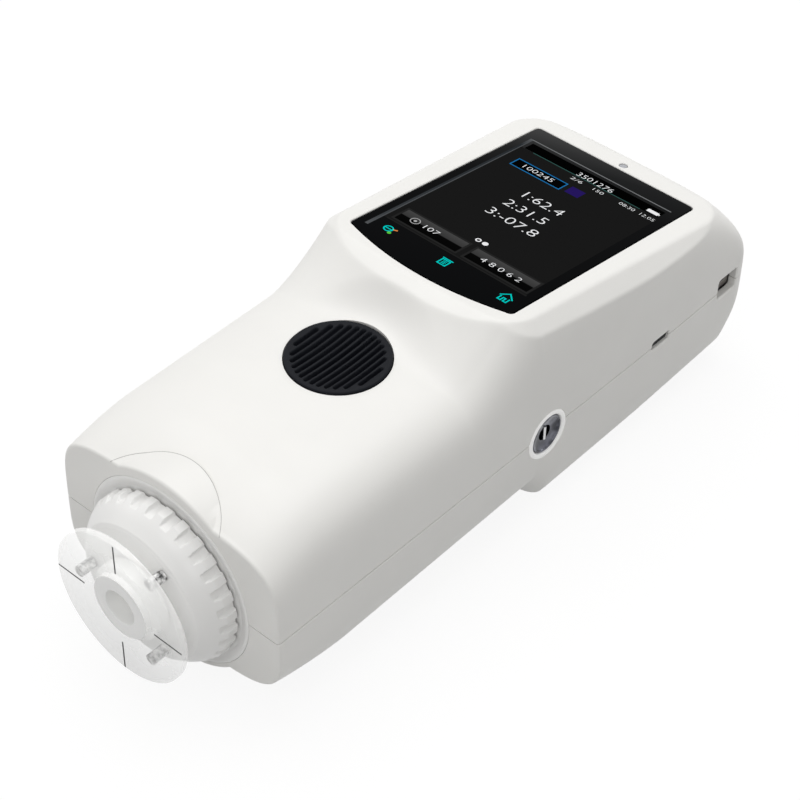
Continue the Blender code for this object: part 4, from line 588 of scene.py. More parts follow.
class Nodes:
    """A material's node tree, with its Principled shader and object coordinates."""

    def __init__(self, name):
        self.material = bpy.data.materials.new(name)
        self.material.use_nodes = True
        self.tree = self.material.node_tree
        self.shader = self.tree.nodes["Principled BSDF"]
        self.coordinates = self.add("ShaderNodeTexCoord").outputs["Object"]

    def add(self, kind, **values):
        node = self.tree.nodes.new(kind)
        for key, value in values.items():
            setattr(node, key, value)
        return node

    def link(self, output, socket):
        self.tree.links.new(output, socket)

    def feed(self, name, output):
        self.link(output, self.shader.inputs[name])

    def set(self, **values):
        """Sets the shader's inputs, named with underscores for spaces."""
        for name, value in values.items():
            self.shader.inputs[name.replace("_", " ")].default_value = value

    def glow(self, tint, strength):
        self.feed("Emission Color", tint)
        self.set(Emission_Strength=strength)

    def along(self, axis):
        """The place along X, Y or Z."""
        split = self.add("ShaderNodeSeparateXYZ")
        self.link(self.coordinates, split.inputs["Vector"])
        return split.outputs[axis]

    def noise(self, scale, detail=2.0):
        node = self.add("ShaderNodeTexNoise")
        node.inputs["Scale"].default_value = scale
        node.inputs["Detail"].default_value = detail
        self.link(self.coordinates, node.inputs["Vector"])
        return node.outputs["Fac"]

    def ramp(self, factor, *stops):
        node = self.add("ShaderNodeValToRGB")
        elements = node.color_ramp.elements
        elements[0].position, elements[0].color = stops[0][0], (*stops[0][1], 1)
        elements[1].position, elements[1].color = stops[-1][0], (*stops[-1][1], 1)
        for position, colour in stops[1:-1]:
            elements.new(position).color = (*colour, 1)
        self.link(factor, node.inputs["Fac"])
        return node.outputs["Color"]

    def spread(self, factor, low, high, start=0.0, end=1.0):
        """Values from low to high as the factor runs from start to end."""
        node = self.add("ShaderNodeMapRange")
        for name, value in (("From Min", start), ("From Max", end), ("To Min", low), ("To Max", high)):
            node.inputs[name].default_value = value
        self.link(factor, node.inputs["Value"])
        return node.outputs["Result"]

    def bump(self, height, depth):
        node = self.add("ShaderNodeBump")
        node.inputs["Distance"].default_value = depth
        node.inputs["Strength"].default_value = 1.0
        self.link(height, node.inputs["Height"])
        self.feed("Normal", node.outputs["Normal"])


def shade(colour, share):
    return tuple(channel * share for channel in colour)


def grey(value):
    return (value, value, value)


def surface(
    name, colour, roughness, grain=2500.0, depth=0.00001, vary=0.03, metallic=0.0, specular=0.5, patch=45.0,
    glow=0.0,
):
    """A moulded or machined surface: faint mottling, uneven gloss and a fine grain."""
    nodes = Nodes(name)
    tint = nodes.ramp(nodes.noise(patch, 3.0), (0.35, shade(colour, 1 - vary)), (0.65, colour))
    nodes.feed("Base Color", tint)
    # A glow here is painted light: it brightens a part that is no lamp.
    if glow:
        nodes.glow(tint, glow)
    nodes.feed("Roughness", nodes.spread(nodes.noise(160.0, 3.0), roughness * 0.85, roughness * 1.15))
    nodes.set(Metallic=metallic, Specular_IOR_Level=specular)
    nodes.bump(nodes.noise(grain), depth)
    return nodes.material


def clear_plastic(name, cover, dark=0.95, glow=0.0, rise=0.0, patch=60.0):
    """A clear moulding seen as a thin milky veil with a gloss on it, and a painted glow that grows towards
    its top where light from above would gather.
    """
    nodes = Nodes(name)
    light = (0.86, 0.86, 0.853)
    tint = nodes.ramp(nodes.noise(patch), (0.35, shade(light, dark)), (0.65, light))
    nodes.feed("Base Color", tint)
    nodes.glow(tint, glow)
    # Painted light: the glow's strength rises from the bottom of the plate to its top.
    if rise:
        painted_glow_by_height = nodes.spread(nodes.along("Z"), glow, glow + rise, -PLATE_RADIUS, PLATE_RADIUS)
        nodes.feed("Emission Strength", painted_glow_by_height)
    nodes.feed("Roughness", nodes.spread(nodes.noise(300.0), 0.05, 0.12))
    nodes.set(Alpha=cover, IOR=1.49)
    nodes.bump(nodes.noise(120.0), 0.000008)
    return nodes.material


def cover_glass(name):
    """Black printed glass with a painted sheen, lighter towards its left rear corner."""
    nodes = Nodes(name)
    slant = 0.35
    across = nodes.add("ShaderNodeVectorMath", operation="DOT_PRODUCT")
    across.inputs[1].default_value = (-slant, 1.0, 0.0)
    nodes.link(nodes.coordinates, across.inputs[0])
    end = GLASS_REAR + GLASS_HALF_WIDTH * slant
    # Painted reflection: the base colour lightens along a slant towards the left rear corner.
    colour = nodes.ramp(
        nodes.spread(across.outputs["Value"], 0, 1, GLASS_FRONT, end),
        (0.0, (0.0006, 0.0008, 0.0012)),
        (0.62, (0.0016, 0.0018, 0.0022)),
        (0.82, (0.010, 0.0105, 0.011)),
        (0.90, (0.024, 0.0245, 0.025)),
        (1.0, (0.050, 0.0505, 0.051)),
    )
    nodes.feed("Base Color", colour)
    nodes.feed("Roughness", nodes.spread(nodes.noise(90.0), 0.05, 0.12))
    nodes.set(Specular_IOR_Level=0.01)
    return nodes.material


def lit(name, colour):
    """A glowing part of the screen's picture, with the panel's fine grid in it."""
    nodes = Nodes(name)
    grid = nodes.noise(5200.0, 0.0)
    nodes.glow(nodes.ramp(grid, (0.3, shade(colour, 0.9)), (0.7, colour)), 1.0)
    nodes.feed("Base Color", nodes.ramp(grid, (0.3, shade(colour, 0.05)), (0.7, shade(colour, 0.08))))
    nodes.feed("Roughness", nodes.spread(grid, 0.25, 0.35))
    nodes.set(Specular_IOR_Level=0.0)
    return nodes.material


def lit_slope(name, low_y, high_y, *stops):
    """A glowing face whose colour runs along the bezel's slope."""
    nodes = Nodes(name)
    nodes.glow(nodes.ramp(nodes.spread(nodes.along("Y"), 0, 1, low_y, high_y), *stops), 1.0)
    nodes.feed("Base Color", nodes.ramp(nodes.noise(5200.0), (0.3, grey(0.0005)), (0.7, grey(0.001))))
    nodes.set(Specular_IOR_Level=0.0)
    return nodes.material


def circuit_board(name):
    nodes = Nodes(name)
    cells = nodes.add("ShaderNodeTexVoronoi", feature="DISTANCE_TO_EDGE")
    cells.inputs["Scale"].default_value = 420.0
    nodes.link(nodes.coordinates, cells.inputs["Vector"])
    colour = nodes.ramp(cells.outputs["Distance"], (0.04, (0.05, 0.24, 0.1)), (0.09, (0.012, 0.12, 0.045)))
    nodes.feed("Base Color", colour)
    nodes.feed("Roughness", nodes.spread(nodes.noise(200.0), 0.3, 0.5))
    return nodes.material


def make_materials():
    return {
        "shell": surface("shell_plastic", (0.86, 0.853, 0.828), 0.42, 2600.0, 0.000012, 0.02),
        # Grey for the thin line round the top boss, painted shade of its small step.
        "line": surface("shade_line_grey", (0.5, 0.497, 0.485), 0.6),
        "white": surface("white_plastic", (0.87, 0.867, 0.855), 0.33, 3200.0, 0.000006, 0.015),
        # The lip's white plastic glows: painted light, not a lamp.
        "bright": surface("bright_plastic_painted_glow", (0.93, 0.93, 0.92), 0.2, 3200.0, 0.000004, 0.01, glow=0.16),
        # The hub's glow is painted light that brightens it behind the clear plate.
        "hub": surface("hub_plastic_painted_glow", (0.88, 0.88, 0.87), 0.35, 3200.0, 0.000006, 0.01, glow=0.06),
        # The plate's rising glow is painted light, standing for the brighter top of the plate.
        "clear": clear_plastic("clear_plate", 0.32, rise=0.5),
        # The posts' fine bright and dark flecks and their glow are painted glints, standing for light
        # refracted in the clear posts.
        "posts": clear_plastic("clear_posts_painted_glints", 0.95, 0.05, 0.1, 0.0, 800.0),
        "glass": cover_glass("cover_glass"),
        "screen": surface("panel", (0.02, 0.02, 0.024), 0.3),
        "indicator": surface("indicator_window", (0.42, 0.43, 0.46), 0.2, 3000.0, 0.000004, 0.1),
        "ink": surface("mark_ink", grey(0.012), 0.5),
        "button": surface(
            "button_rubber", (0.0066, 0.0076, 0.0108), 0.55, 3600.0, 0.00002, 0.15, specular=0.1
        ),
        "black": surface("black_plastic", (0.03, 0.03, 0.032), 0.5, specular=0.2),
        "port": surface("port_plastic", (0.3, 0.285, 0.265), 0.5),
        "grey": surface("grey_plastic", (0.35, 0.36, 0.37), 0.5),
        "board": circuit_board("circuit_board"),
        "steel": surface("steel", (0.62, 0.62, 0.63), 0.28, 1800.0, 0.00001, 0.06, metallic=1.0),
        # The chrome's dark bluish colour and its large blotches are painted reflection of dark surroundings.
        "chrome": surface(
            "chrome", (0.17, 0.175, 0.205), 0.12, 900.0, 0.000004, 0.75, metallic=1.0, patch=260.0
        ),
        "cell": surface("cell_wrap", (0.05, 0.1, 0.3), 0.35, 1200.0, 0.00002, 0.1),
        "alloy": surface("black_alloy", (0.1, 0.1, 0.11), 0.4, 2000.0, 0.00001, 0.08, metallic=0.6),
        # The white coating's glow is painted light inside the aperture.
        "barium": surface("white_coating_painted_glow", (0.92, 0.92, 0.91), 0.9, 1500.0, 0.00003, 0.02, glow=0.3),
        "optic": clear_plastic("lens_glass", 0.35),
    }


# Housing form


def half_width(y):
    """Half of the housing's width at the parting line."""
    if y <= WIDEST_Y:
        width = mix(NOSE_HALF_WIDTH, WIDEST_HALF_WIDTH, blend(y, NOSE_FACE_Y, WIDEST_Y))
    else:
        width = mix(WIDEST_HALF_WIDTH, REAR_HALF_WIDTH, blend(y, WIDEST_Y, REAR_Y - REAR_CORNER_RADIUS))
    past = max(y - (REAR_Y - REAR_CORNER_RADIUS), 0)
    return width - REAR_CORNER_RADIUS + math.sqrt(REAR_CORNER_RADIUS**2 - past**2)


def upper_rise(y, x, inset):
    """Height of the upper half above the parting line, before the bezel is cut."""
    bow = SWEEP_BOW * np.minimum(np.abs(x) / SWEEP_BOW_HALF_WIDTH, 1) ** 2
    past = np.maximum(y - bow - SWEEP_START_Y, 0)
    away = np.hypot(x, y - BUTTON_Y) - BUTTON_RADIUS - GAP
    terrace = mix(BUTTON_TERRACE_SHARE, 1, smooth(blend(away, 0, BUTTON_TERRACE)))
    sweep = SWEEP_RISE * (past / SWEEP_LENGTH) ** SWEEP_POWER * terrace
    drop = NOSE_DROP * (1 - blend(y, NOSE_FACE_Y, NOSE_FACE_Y + NOSE_DROP_LENGTH)) ** NOSE_DROP_POWER
    blank = mix(HEAD_BLANK_RISE, HEAD_BLANK_REAR_RISE, blend(y, HEAD_Y, REAR_Y))
    crown = BULGE_Z - PARTING_Z + CROWN_RISE * math.sqrt(max(REAR_Y - y - inset, 0) / CROWN_DEPTH)
    return np.minimum(np.minimum(HANDLE_RISE - drop + sweep, blank), crown) - inset


def keel_depth(y, inset):
    """Depth of the lower half below the parting line."""
    nose = 1 - (1 - blend(y, NOSE_FACE_Y, NOSE_FACE_Y + KEEL_NOSE_LENGTH)) ** 2
    depth = mix(KEEL_NOSE_DEPTH, KEEL_HANDLE_DEPTH, nose)
    taper = blend(y, NOSE_FACE_Y + KEEL_NOSE_LENGTH, HUMP_START_Y)
    depth += (KEEL_HANDLE_REAR_DEPTH - KEEL_HANDLE_DEPTH) * taper
    depth = mix(depth, KEEL_HUMP_DEPTH, blend(y, HUMP_START_Y, HUMP_END_Y))
    rear = PARTING_Z - BULGE_Z + KEEL_REAR_DROP * math.sqrt(max(REAR_Y - y - inset, 0) / KEEL_REAR_DEPTH)
    return min(depth, rear) - inset


def keel_exponent(y):
    nose = blend(y, NOSE_FACE_Y, NOSE_FACE_Y + KEEL_NOSE_LENGTH)
    exponent = mix(KEEL_NOSE_EXPONENT, KEEL_HANDLE_EXPONENT, nose)
    exponent = mix(exponent, KEEL_HUMP_EXPONENT, blend(y, HUMP_START_Y, HUMP_END_Y))
    return mix(exponent, KEEL_REAR_EXPONENT, blend(y, HUMP_END_Y, REAR_Y))


def roof_z(y):
    return BEZEL_Z - math.tan(BEZEL_TILT) * (y - BEZEL_Y)


def bezel_height(x, y):
    """Height of the bezel plane and its chamfers over a place."""
    flat_s = (y - BEZEL_Y) / math.cos(BEZEL_TILT)
    height = np.zeros_like(x)
    for _ in range(3):
        s = flat_s - height * math.tan(BEZEL_TILT)
        half = mix(BEZEL_FRONT_HALF_WIDTH, BEZEL_REAR_HALF_WIDTH, blend(s, BEZEL_FRONT, BEZEL_REAR))
        swell = 1 - np.minimum(np.abs(x) / half, 1) ** 2
        across = np.abs(x) - half + BEZEL_CORNER_RADIUS
        front = BEZEL_FRONT - BEZEL_FRONT_BOW * swell + BEZEL_CORNER_RADIUS - s
        rear = s - BEZEL_REAR - BEZEL_REAR_BOW * swell + BEZEL_CORNER_RADIUS
        along = np.maximum(front, rear)
        outer_across, outer_along = np.maximum(across, 0), np.maximum(along, 0)
        outside = np.hypot(outer_across, outer_along) + np.minimum(np.maximum(across, along), 0)
        outside = np.clip(outside - BEZEL_CORNER_RADIUS, 0, CHAMFER_REACH)
        end_share = outer_along**2 / np.maximum(outer_across**2 + outer_along**2, TINY**2)
        end_slope = np.where(front > rear, CHAMFER_FRONT_SLOPE, CHAMFER_REAR_SLOPE)
        height = -mix(CHAMFER_SIDE_SLOPE, end_slope, end_share) * outside
    return roof_z(y) + height / math.cos(BEZEL_TILT)


def corner_shares(exponent, samples):
    """Across and up shares of half a superellipse, dense on its flat top and round its corners."""
    even = np.linspace(-1, 1, samples)
    flat = np.arccos(np.sign(even) * np.abs(even) ** (exponent / 2))
    angles = np.unique(np.concatenate((np.linspace(0, math.pi, samples), flat)))
    cosine = np.cos(angles)
    across = np.sign(cosine) * np.abs(cosine) ** (2 / exponent)
    up = np.maximum(np.sin(angles), 0) ** (2 / exponent)
    up[0] = up[-1] = 0
    return across, up


def upper_row(y):
    across, up = corner_shares(UPPER_EXPONENT, SECTION_SAMPLES)
    x = half_width(y) * across
    z = PARTING_Z + np.maximum(upper_rise(y, x, 0) * up, GAP / 2)
    return np.stack((x, np.full_like(x, y), np.minimum(z, bezel_height(x, y))), 1)


def lower_row(y):
    across, up = corner_shares(keel_exponent(y), SECTION_SAMPLES)
    x = -half_width(y) * across
    z = PARTING_Z - np.maximum(keel_depth(y, 0) * up, GAP / 2)
    return np.stack((x, np.full_like(x, y), np.maximum(z, -REST_DROP)), 1)


def along_line(line):
    steps = np.linalg.norm(np.diff(line, axis=0), axis=1)
    return np.concatenate(([0], np.cumsum(steps)))


def resample(line, old, new):
    return np.stack([np.interp(new, old, line[:, k]) for k in range(3)], 1)


def soften(line, width):
    """A line of points with its corners drawn round, its ends where they were."""
    along = along_line(line)
    even = np.linspace(0, along[-1], int(along[-1] / width * 6) + 2)
    step = even[1]
    fine = resample(line, along, even)
    reach = int(3 * width / step) + 1
    kernel = np.exp(-0.5 * (np.arange(-reach, reach + 1) * step / width) ** 2)
    kernel /= kernel.sum()
    head = 2 * fine[0] - fine[reach:0:-1]
    tail = 2 * fine[-1] - fine[-2 : -reach - 2 : -1]
    padded = np.concatenate((head, fine, tail))
    softened = np.stack([np.convolve(padded[:, k], kernel, "valid") for k in range(3)], 1)
    return resample(softened, even, along)


def skin_places():
    """Places along the length of the skin's rows, closest where the form turns."""
    spans = (
        (NOSE_FACE_Y + NOSE_FILLET, NOSE_FACE_Y + NOSE_DROP_LENGTH, 22),
        (NOSE_FACE_Y + NOSE_DROP_LENGTH, SWEEP_START_Y, 36),
        (SWEEP_START_Y, HUMP_START_Y, 56),
        (HUMP_START_Y, HUMP_END_Y, 20),
        (HUMP_END_Y, REAR_Y - 2 * REAR_CORNER_RADIUS, 44),
    )
    places = []
    for start, end, count in spans:
        places += list(np.linspace(start, end, count, endpoint=False))
    rear_length = 2 * REAR_CORNER_RADIUS - REAR_END_MARGIN
    rear_turns = np.linspace(0, math.pi / 2, 34)
    places += list(REAR_Y - 2 * REAR_CORNER_RADIUS + rear_length * np.sin(rear_turns))
    return places


def skin_rows(row_at):
    """The skin of one half as a grid of points, its creases drawn round both ways."""
    rows = []
    for y in skin_places():
        row = soften(row_at(y), CREASE_WIDTH)
        along = along_line(row)
        rows.append(resample(row, along, np.linspace(0, along[-1], SKIN_COLUMNS)))
    grid = np.array(rows)
    for column in range(SKIN_COLUMNS):
        grid[:, column] = soften(grid[:, column], CREASE_WIDTH)
    return grid


def nose_rows(first_row):
    """The rounded edge round the nose face, from the face to the first row."""
    steps = 6
    width = np.abs(first_row[:, 0]).max()
    deepest = np.abs(first_row[:, 2] - PARTING_Z).max()
    rows = []
    for i in range(steps):
        turn = math.pi / 2 * i / steps
        inset = NOSE_FILLET * (1 - math.sin(turn))
        row = first_row.copy()
        row[:, 0] *= 1 - inset / width
        row[:, 1] = NOSE_FACE_Y + NOSE_FILLET * (1 - math.cos(turn))
        row[:, 2] = PARTING_Z + (row[:, 2] - PARTING_Z) * (1 - inset / deepest)
        rows.append(row)
    return rows


def with_seam_edges(row, side):
    """A row whose ends are bevelled where the half meets the other one."""
    base = PARTING_Z + side * GAP / 2
    row = row.copy()
    heights = np.maximum(side * (row[:, 2] - base), SEAM_EDGE)
    row[:, 2] = base + side * heights
    ends = row[[0, -1]].copy()
    ends[:, 0] *= 1 - SEAM_EDGE / np.abs(ends[:, 0])
    ends[:, 2] = base
    return np.concatenate((ends[:1], row, ends[1:]))


def skin(row_at, side):
    grid = skin_rows(row_at)
    rows = nose_rows(grid[0]) + list(grid)
    return loft([with_seam_edges(row, side) for row in rows])


def inner_ring(y, inset):
    """One ring of the housing's inside, over and under the parting line."""
    width = half_width(y + inset * (y > WIDEST_Y)) - inset
    angles = np.linspace(0, math.pi, INNER_COLUMNS)[1:-1]
    cosine, sine = np.cos(angles), np.sin(angles)

    def across(exponent):
        return width * np.sign(cosine) * np.abs(cosine) ** (2 / exponent)

    over_x = across(UPPER_EXPONENT)
    over_z = PARTING_Z + upper_rise(y, over_x, inset) * sine ** (2 / UPPER_EXPONENT)
    if inset > WALL / 2:
        over_z = np.minimum(over_z, ceiling(over_x, y))
    else:
        over_z = np.minimum(over_z, bezel_height(over_x, np.full_like(over_x, y)) - WALL / 2)
    exponent = keel_exponent(y)
    under_x = -across(exponent)
    under_z = PARTING_Z - keel_depth(y, inset) * sine ** (2 / exponent)
    under_z = np.maximum(under_z, inset - REST_DROP)
    over = np.stack((over_x, np.full_like(over_x, y), over_z), 1)
    under = np.stack((under_x, np.full_like(under_x, y), under_z), 1)
    return np.concatenate((over, under))


def ceiling(x, y):
    """The inside's highest place under the bezel and its chamfers."""
    share = blend(y, BEZEL_Y + BEZEL_FRONT, BEZEL_Y + BEZEL_REAR)
    bezel_half = mix(BEZEL_FRONT_HALF_WIDTH, BEZEL_REAR_HALF_WIDTH, share)
    side = np.maximum(np.abs(x) - bezel_half + WALL / 2, 0)
    front = min(max(BEZEL_Y + BEZEL_FRONT - y, 0), CHAMFER_REACH)
    return roof_z(y) - ROOF - CHAMFER_SIDE_SLOPE * side - CHAMFER_FRONT_SLOPE * front


def inside(inset, front):
    end = REAR_Y - REAR_END_MARGIN - inset
    places = [front] + [y for y in skin_places()[::3] if front + GAP < y < end - GAP] + [end]
    return loft([inner_ring(y, inset) for y in places])


# Cutters and additions of the housing


def glass_outline(margin):
    """The glass's rounded outline in the bezel plane, whose front end swells forwards."""
    corner_steps, bow_steps = 8, 24
    radius = GLASS_CORNER_RADIUS + margin
    half = GLASS_HALF_WIDTH + margin - radius
    front, rear = GLASS_FRONT - margin, GLASS_REAR + margin
    corners = (
        (half, front + radius, -90),
        (half, rear - radius, 0),
        (-half, rear - radius, 90),
        (-half, front + radius, 180),
    )
    points = []
    for x, s, start in corners:
        for i in range(corner_steps + 1):
            turn = math.radians(start + 90 * i / corner_steps)
            points.append((x + radius * math.cos(turn), s + radius * math.sin(turn)))
    for i in range(1, bow_steps):
        share = 2 * i / bow_steps - 1
        points.append((half * share, front - GLASS_BOW * (1 - share**2)))
    return points


def glass_recess():
    """The glass's seat, its lip opened a little at the bezel plane."""
    margin = GAP / 2
    floor = -GLASS_SINK - GLASS_THICKNESS - GAP
    rings = [flat_ring(glass_outline(margin), z) for z in (floor, -GLASS_LIP)]
    rings += [flat_ring(glass_outline(margin + GLASS_LIP), z) for z in (0, OVERRUN)]
    return loft(rings)


def indicator_hole():
    """The small round hole behind the glass, opened a little at the bezel plane."""
    lip = GAP / 2
    radius = INDICATOR_RADIUS + lip
    floor = -2 * ROOF
    profile = [(0, GAP), (radius + lip + GAP, GAP), (radius + lip, 0), (radius, -lip)]
    profile += [(radius, floor), (0, floor)]
    return upright(turned(profile, 40), INDICATOR_X, INDICATOR_S, 0)


def side_opening(y, z, half_y, half_z, depth):
    """A rounded rectangular opening through the right wall, flared at the surface."""
    surface_x = half_width(y)
    rings = []
    for out, grow in ((-depth, 0), (-OPENING_LIP, 0), (0, OPENING_LIP), (OVERRUN, OPENING_LIP + OVERRUN)):
        sides = rectangle(y - half_y - grow, z - half_z - grow, y + half_y + grow, z + half_z + grow)
        rings.append([(surface_x + out, *point) for point in rounded(sides, OPENING_CORNER + grow)])
    return loft(rings)


def side_openings():
    """The port and the small slot, both across the seam in the right wall."""
    slot_z = PARTING_Z + (SIDE_SLOT_RISE - SIDE_SLOT_DROP) / 2
    slot_half_height = (SIDE_SLOT_RISE + SIDE_SLOT_DROP) / 2
    return (
        side_opening(PORT_Y, PORT_Z, PORT_HALF_WIDTH, PORT_HALF_HEIGHT, 2 * WALL),
        side_opening(SIDE_SLOT_Y, slot_z, SIDE_SLOT_HALF_WIDTH, slot_half_height, SIDE_SLOT_DEPTH),
    )


def screw_places():
    for y, x in ((SCREW_FRONT_Y, SCREW_FRONT_X), (SCREW_REAR_Y, SCREW_REAR_X)):
        for side in (-1, 1):
            yield side * x, y


def at_screws(radius, length, z, steps):
    """Four upright rods from a height, one at each screw."""
    return combine(*(upright(rod(radius, length, steps), x, y, z) for x, y in screw_places()))


def nose_pocket():
    """The collar's pocket and the neck's hole behind it, its mouth flared."""
    front, rear = NOSE_FACE_Y - OVERRUN, CAVITY_FRONT_Y + OVERRUN
    pocket_end = NOSE_FACE_Y - COLLAR_PROUD + COLLAR_DEPTH + GAP
    radius = COLLAR_RADIUS + GAP / 8
    mouth = radius + POCKET_LIP
    profile = [(0, rear), (NECK_HOLE_RADIUS, rear), (NECK_HOLE_RADIUS, pocket_end), (radius, pocket_end)]
    profile += [(radius, NOSE_FACE_Y + POCKET_LIP), (mouth, NOSE_FACE_Y), (mouth, front), (0, front)]
    return turned(profile, 192)


def anchor_pocket():
    hole = rod(ANCHOR_LIP_RADIUS + GAP / 8, ANCHOR_LENGTH + OVERRUN, 96)
    return sideways(hole, ANCHOR_FACE_X - ANCHOR_LENGTH, ANCHOR_Y, 0)


def make_top_boss():
    """The round boss over the collar, cut to a circle seen from above."""
    length = TOP_BOSS_PLAN_RADIUS + TOP_BOSS_PLAN_Y + OVERRUN
    corners = ((0, length), (TOP_BOSS_RADIUS, length), (TOP_BOSS_RADIUS, NOSE_FACE_Y), (0, NOSE_FACE_Y))
    boss = raw_object("top_boss", turned(rounded(corners, NOSE_FILLET, 6, keep_axis=True), 256))
    plan = upright(rod(TOP_BOSS_PLAN_RADIUS, TOP_BOSS_RADIUS, 256), 0, TOP_BOSS_PLAN_Y, TOP_BOSS_Z)
    boolean(boss, raw_object("plan", plan), "INTERSECT")
    return boss


def make_low_boss():
    """The round boss under the collar, which the nose rests on."""
    corners = (
        (0, LOW_BOSS_FADE_Y),
        (LOW_BOSS_FADE_RADIUS, LOW_BOSS_FADE_Y),
        (REST_DROP, NOSE_FACE_Y + LOW_BOSS_FLAT),
        (REST_DROP, NOSE_FACE_Y),
        (0, NOSE_FACE_Y),
    )
    boss = raw_object("low_boss", turned(rounded(corners, NOSE_FILLET / 2, 5, keep_axis=True), 256))
    cut(boss, box((-REAR_Y, -REAR_Y, PARTING_Z - GAP / 2 - SEAM_EDGE), (REAR_Y, REAR_Y, REAR_Y)))
    return boss


def make_boss_shade_line():
    """A thin grey tube round the top boss, where it stands on the nose: painted shade standing for the shadow
    of the boss's small step.
    """
    start = math.acos(math.sqrt(1 - ((NOSE_FACE_Y - TOP_BOSS_PLAN_Y) / TOP_BOSS_PLAN_RADIUS) ** 2))
    rings = []
    for turn in np.linspace(start, math.pi - start, 120):
        x = TOP_BOSS_PLAN_RADIUS * math.cos(turn)
        row = upper_row(TOP_BOSS_PLAN_Y + TOP_BOSS_PLAN_RADIUS * math.sin(turn))
        ground = float(np.interp(-x, -row[:, 0], row[:, 2]))
        height = max(ground, math.sqrt(TOP_BOSS_RADIUS**2 - x * x))
        ring = []
        for out, up in ring_outline(TOP_BOSS_PLAN_RADIUS, height, BOSS_SHADE_LINE_RADIUS, 6):
            ring.append((out * math.cos(turn), TOP_BOSS_PLAN_Y + out * math.sin(turn), up))
        rings.append(ring)
    piece("boss_shade_line", loft(rings), "shell", look="line")


def screw_bosses(core, low, high, radius):
    """Screw bosses between two heights, kept within the housing's walls."""
    bosses = raw_object("bosses", at_screws(radius, high - low, low, 32))
    boolean(bosses, raw_object("core", core), "INTERSECT")
    return bosses


def make_slot_shade_strip():
    """A black strip at the bottom of the slot, painted shade standing for the slot's dark inside."""
    floor = half_width(SIDE_SLOT_Y) - SIDE_SLOT_DEPTH
    low = (floor - GAP, SIDE_SLOT_Y - SIDE_SLOT_HALF_WIDTH, PARTING_Z - SIDE_SLOT_DROP)
    high = (floor + GAP, SIDE_SLOT_Y + SIDE_SLOT_HALF_WIDTH, PARTING_Z + SIDE_SLOT_RISE)
    piece("slot_shade_strip", box(low, high), "black")


def make_port_plate():
    """The grey plate round the data socket's mouth at the bottom of the port, and the tongue in the mouth."""
    low, high = (corner - NOSE.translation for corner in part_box("data_socket"))
    face = high.x
    outer = rectangle(
        PORT_Y - PORT_HALF_WIDTH + PORT_PLATE_GAP,
        PORT_Z - PORT_HALF_HEIGHT - GAP,
        PORT_Y + PORT_HALF_WIDTH + GAP,
        PORT_Z + PORT_HALF_HEIGHT + GAP,
    )
    plate = raw_object("port_plate", side_prism(rounded(outer, GAP), face + GAP / 2, face + 2 * GAP))
    mouth = rectangle(low.y - GAP / 2, low.z - GAP / 2, high.y + GAP / 2, high.z + GAP / 2)
    cut(plate, side_prism(mouth, face - OVERRUN, face + OVERRUN))
    dress(plate, "grey", look="port")
    margin = 2 * GAP
    tongue_low = (face - margin - GAP, low.y + 2 * margin, low.z + margin)
    tongue_high = (face - GAP, high.y - margin, high.z - margin)
    piece("socket_tongue", box(tongue_low, tongue_high), "grey", look="port")


def shell_blank(name, shape, boss, cavity, bosses):
    """One half of the housing with its bosses, its hollow and the openings that both halves share."""
    shell = raw_object(name, shape)
    boolean(shell, boss, "UNION")
    cut(shell, cavity)
    boolean(shell, bosses, "UNION")
    cut(shell, nose_pocket(), anchor_pocket(), *side_openings())
    return shell


def make_upper_shell(core, cavity):
    base = PARTING_Z + GAP / 2 + SEAM_EDGE
    bosses = screw_bosses(core, base, BEZEL_Z, SCREW_BOSS_RADIUS - GAP * 2)
    shell = shell_blank("upper_cover", skin(upper_row, 1), make_top_boss(), cavity, bosses)
    cut(shell, upright(rod(BUTTON_RADIUS + GAP, HANDLE_RISE, 160), 0, BUTTON_Y, HANDLE_RISE - 2 * WALL))
    low = (-WINDOW_HALF_WIDTH, WINDOW_FRONT, -ROOF - OVERRUN)
    window = box(low, (WINDOW_HALF_WIDTH, WINDOW_REAR, OVERRUN))
    cut(shell, glass_recess(), window, indicator_hole(), place=BEZEL)
    cut(shell, at_screws(SCREW_RADIUS + GAP / 2, SCREW_SEAT_Z + SCREW_LENGTH + GAP * 2, 0, 24))
    dress(shell, "shell", nodes=("upper_shell",))


def make_lower_shell(core, cavity):
    top = PARTING_Z - GAP / 2 - SEAM_EDGE
    bosses = screw_bosses(core, -REST_DROP, top, SCREW_BOSS_RADIUS)
    shell = shell_blank("lower_cover", skin(lower_row, -1), make_low_boss(), cavity, bosses)
    well_start = -REST_DROP - OVERRUN
    cut(shell, at_screws(SCREW_WELL_RADIUS, SCREW_SEAT_Z - well_start, well_start, 48))
    cut(shell, at_screws(SCREW_RADIUS + GAP, 2 * REST_DROP, -REST_DROP, 24))
    dress(shell, "shell", nodes=("lower_shell",))


def make_housing():
    core = inside(WALL / 2, NOSE_FACE_Y + WALL)
    cavity = inside(WALL, CAVITY_FRONT_Y)
    make_upper_shell(core, cavity)
    make_lower_shell(core, cavity)
    make_boss_shade_line()
    make_slot_shade_strip()
    make_port_plate()
    for i, (x, y) in enumerate(screw_places()):
        make_screw(i + 1, x, y)


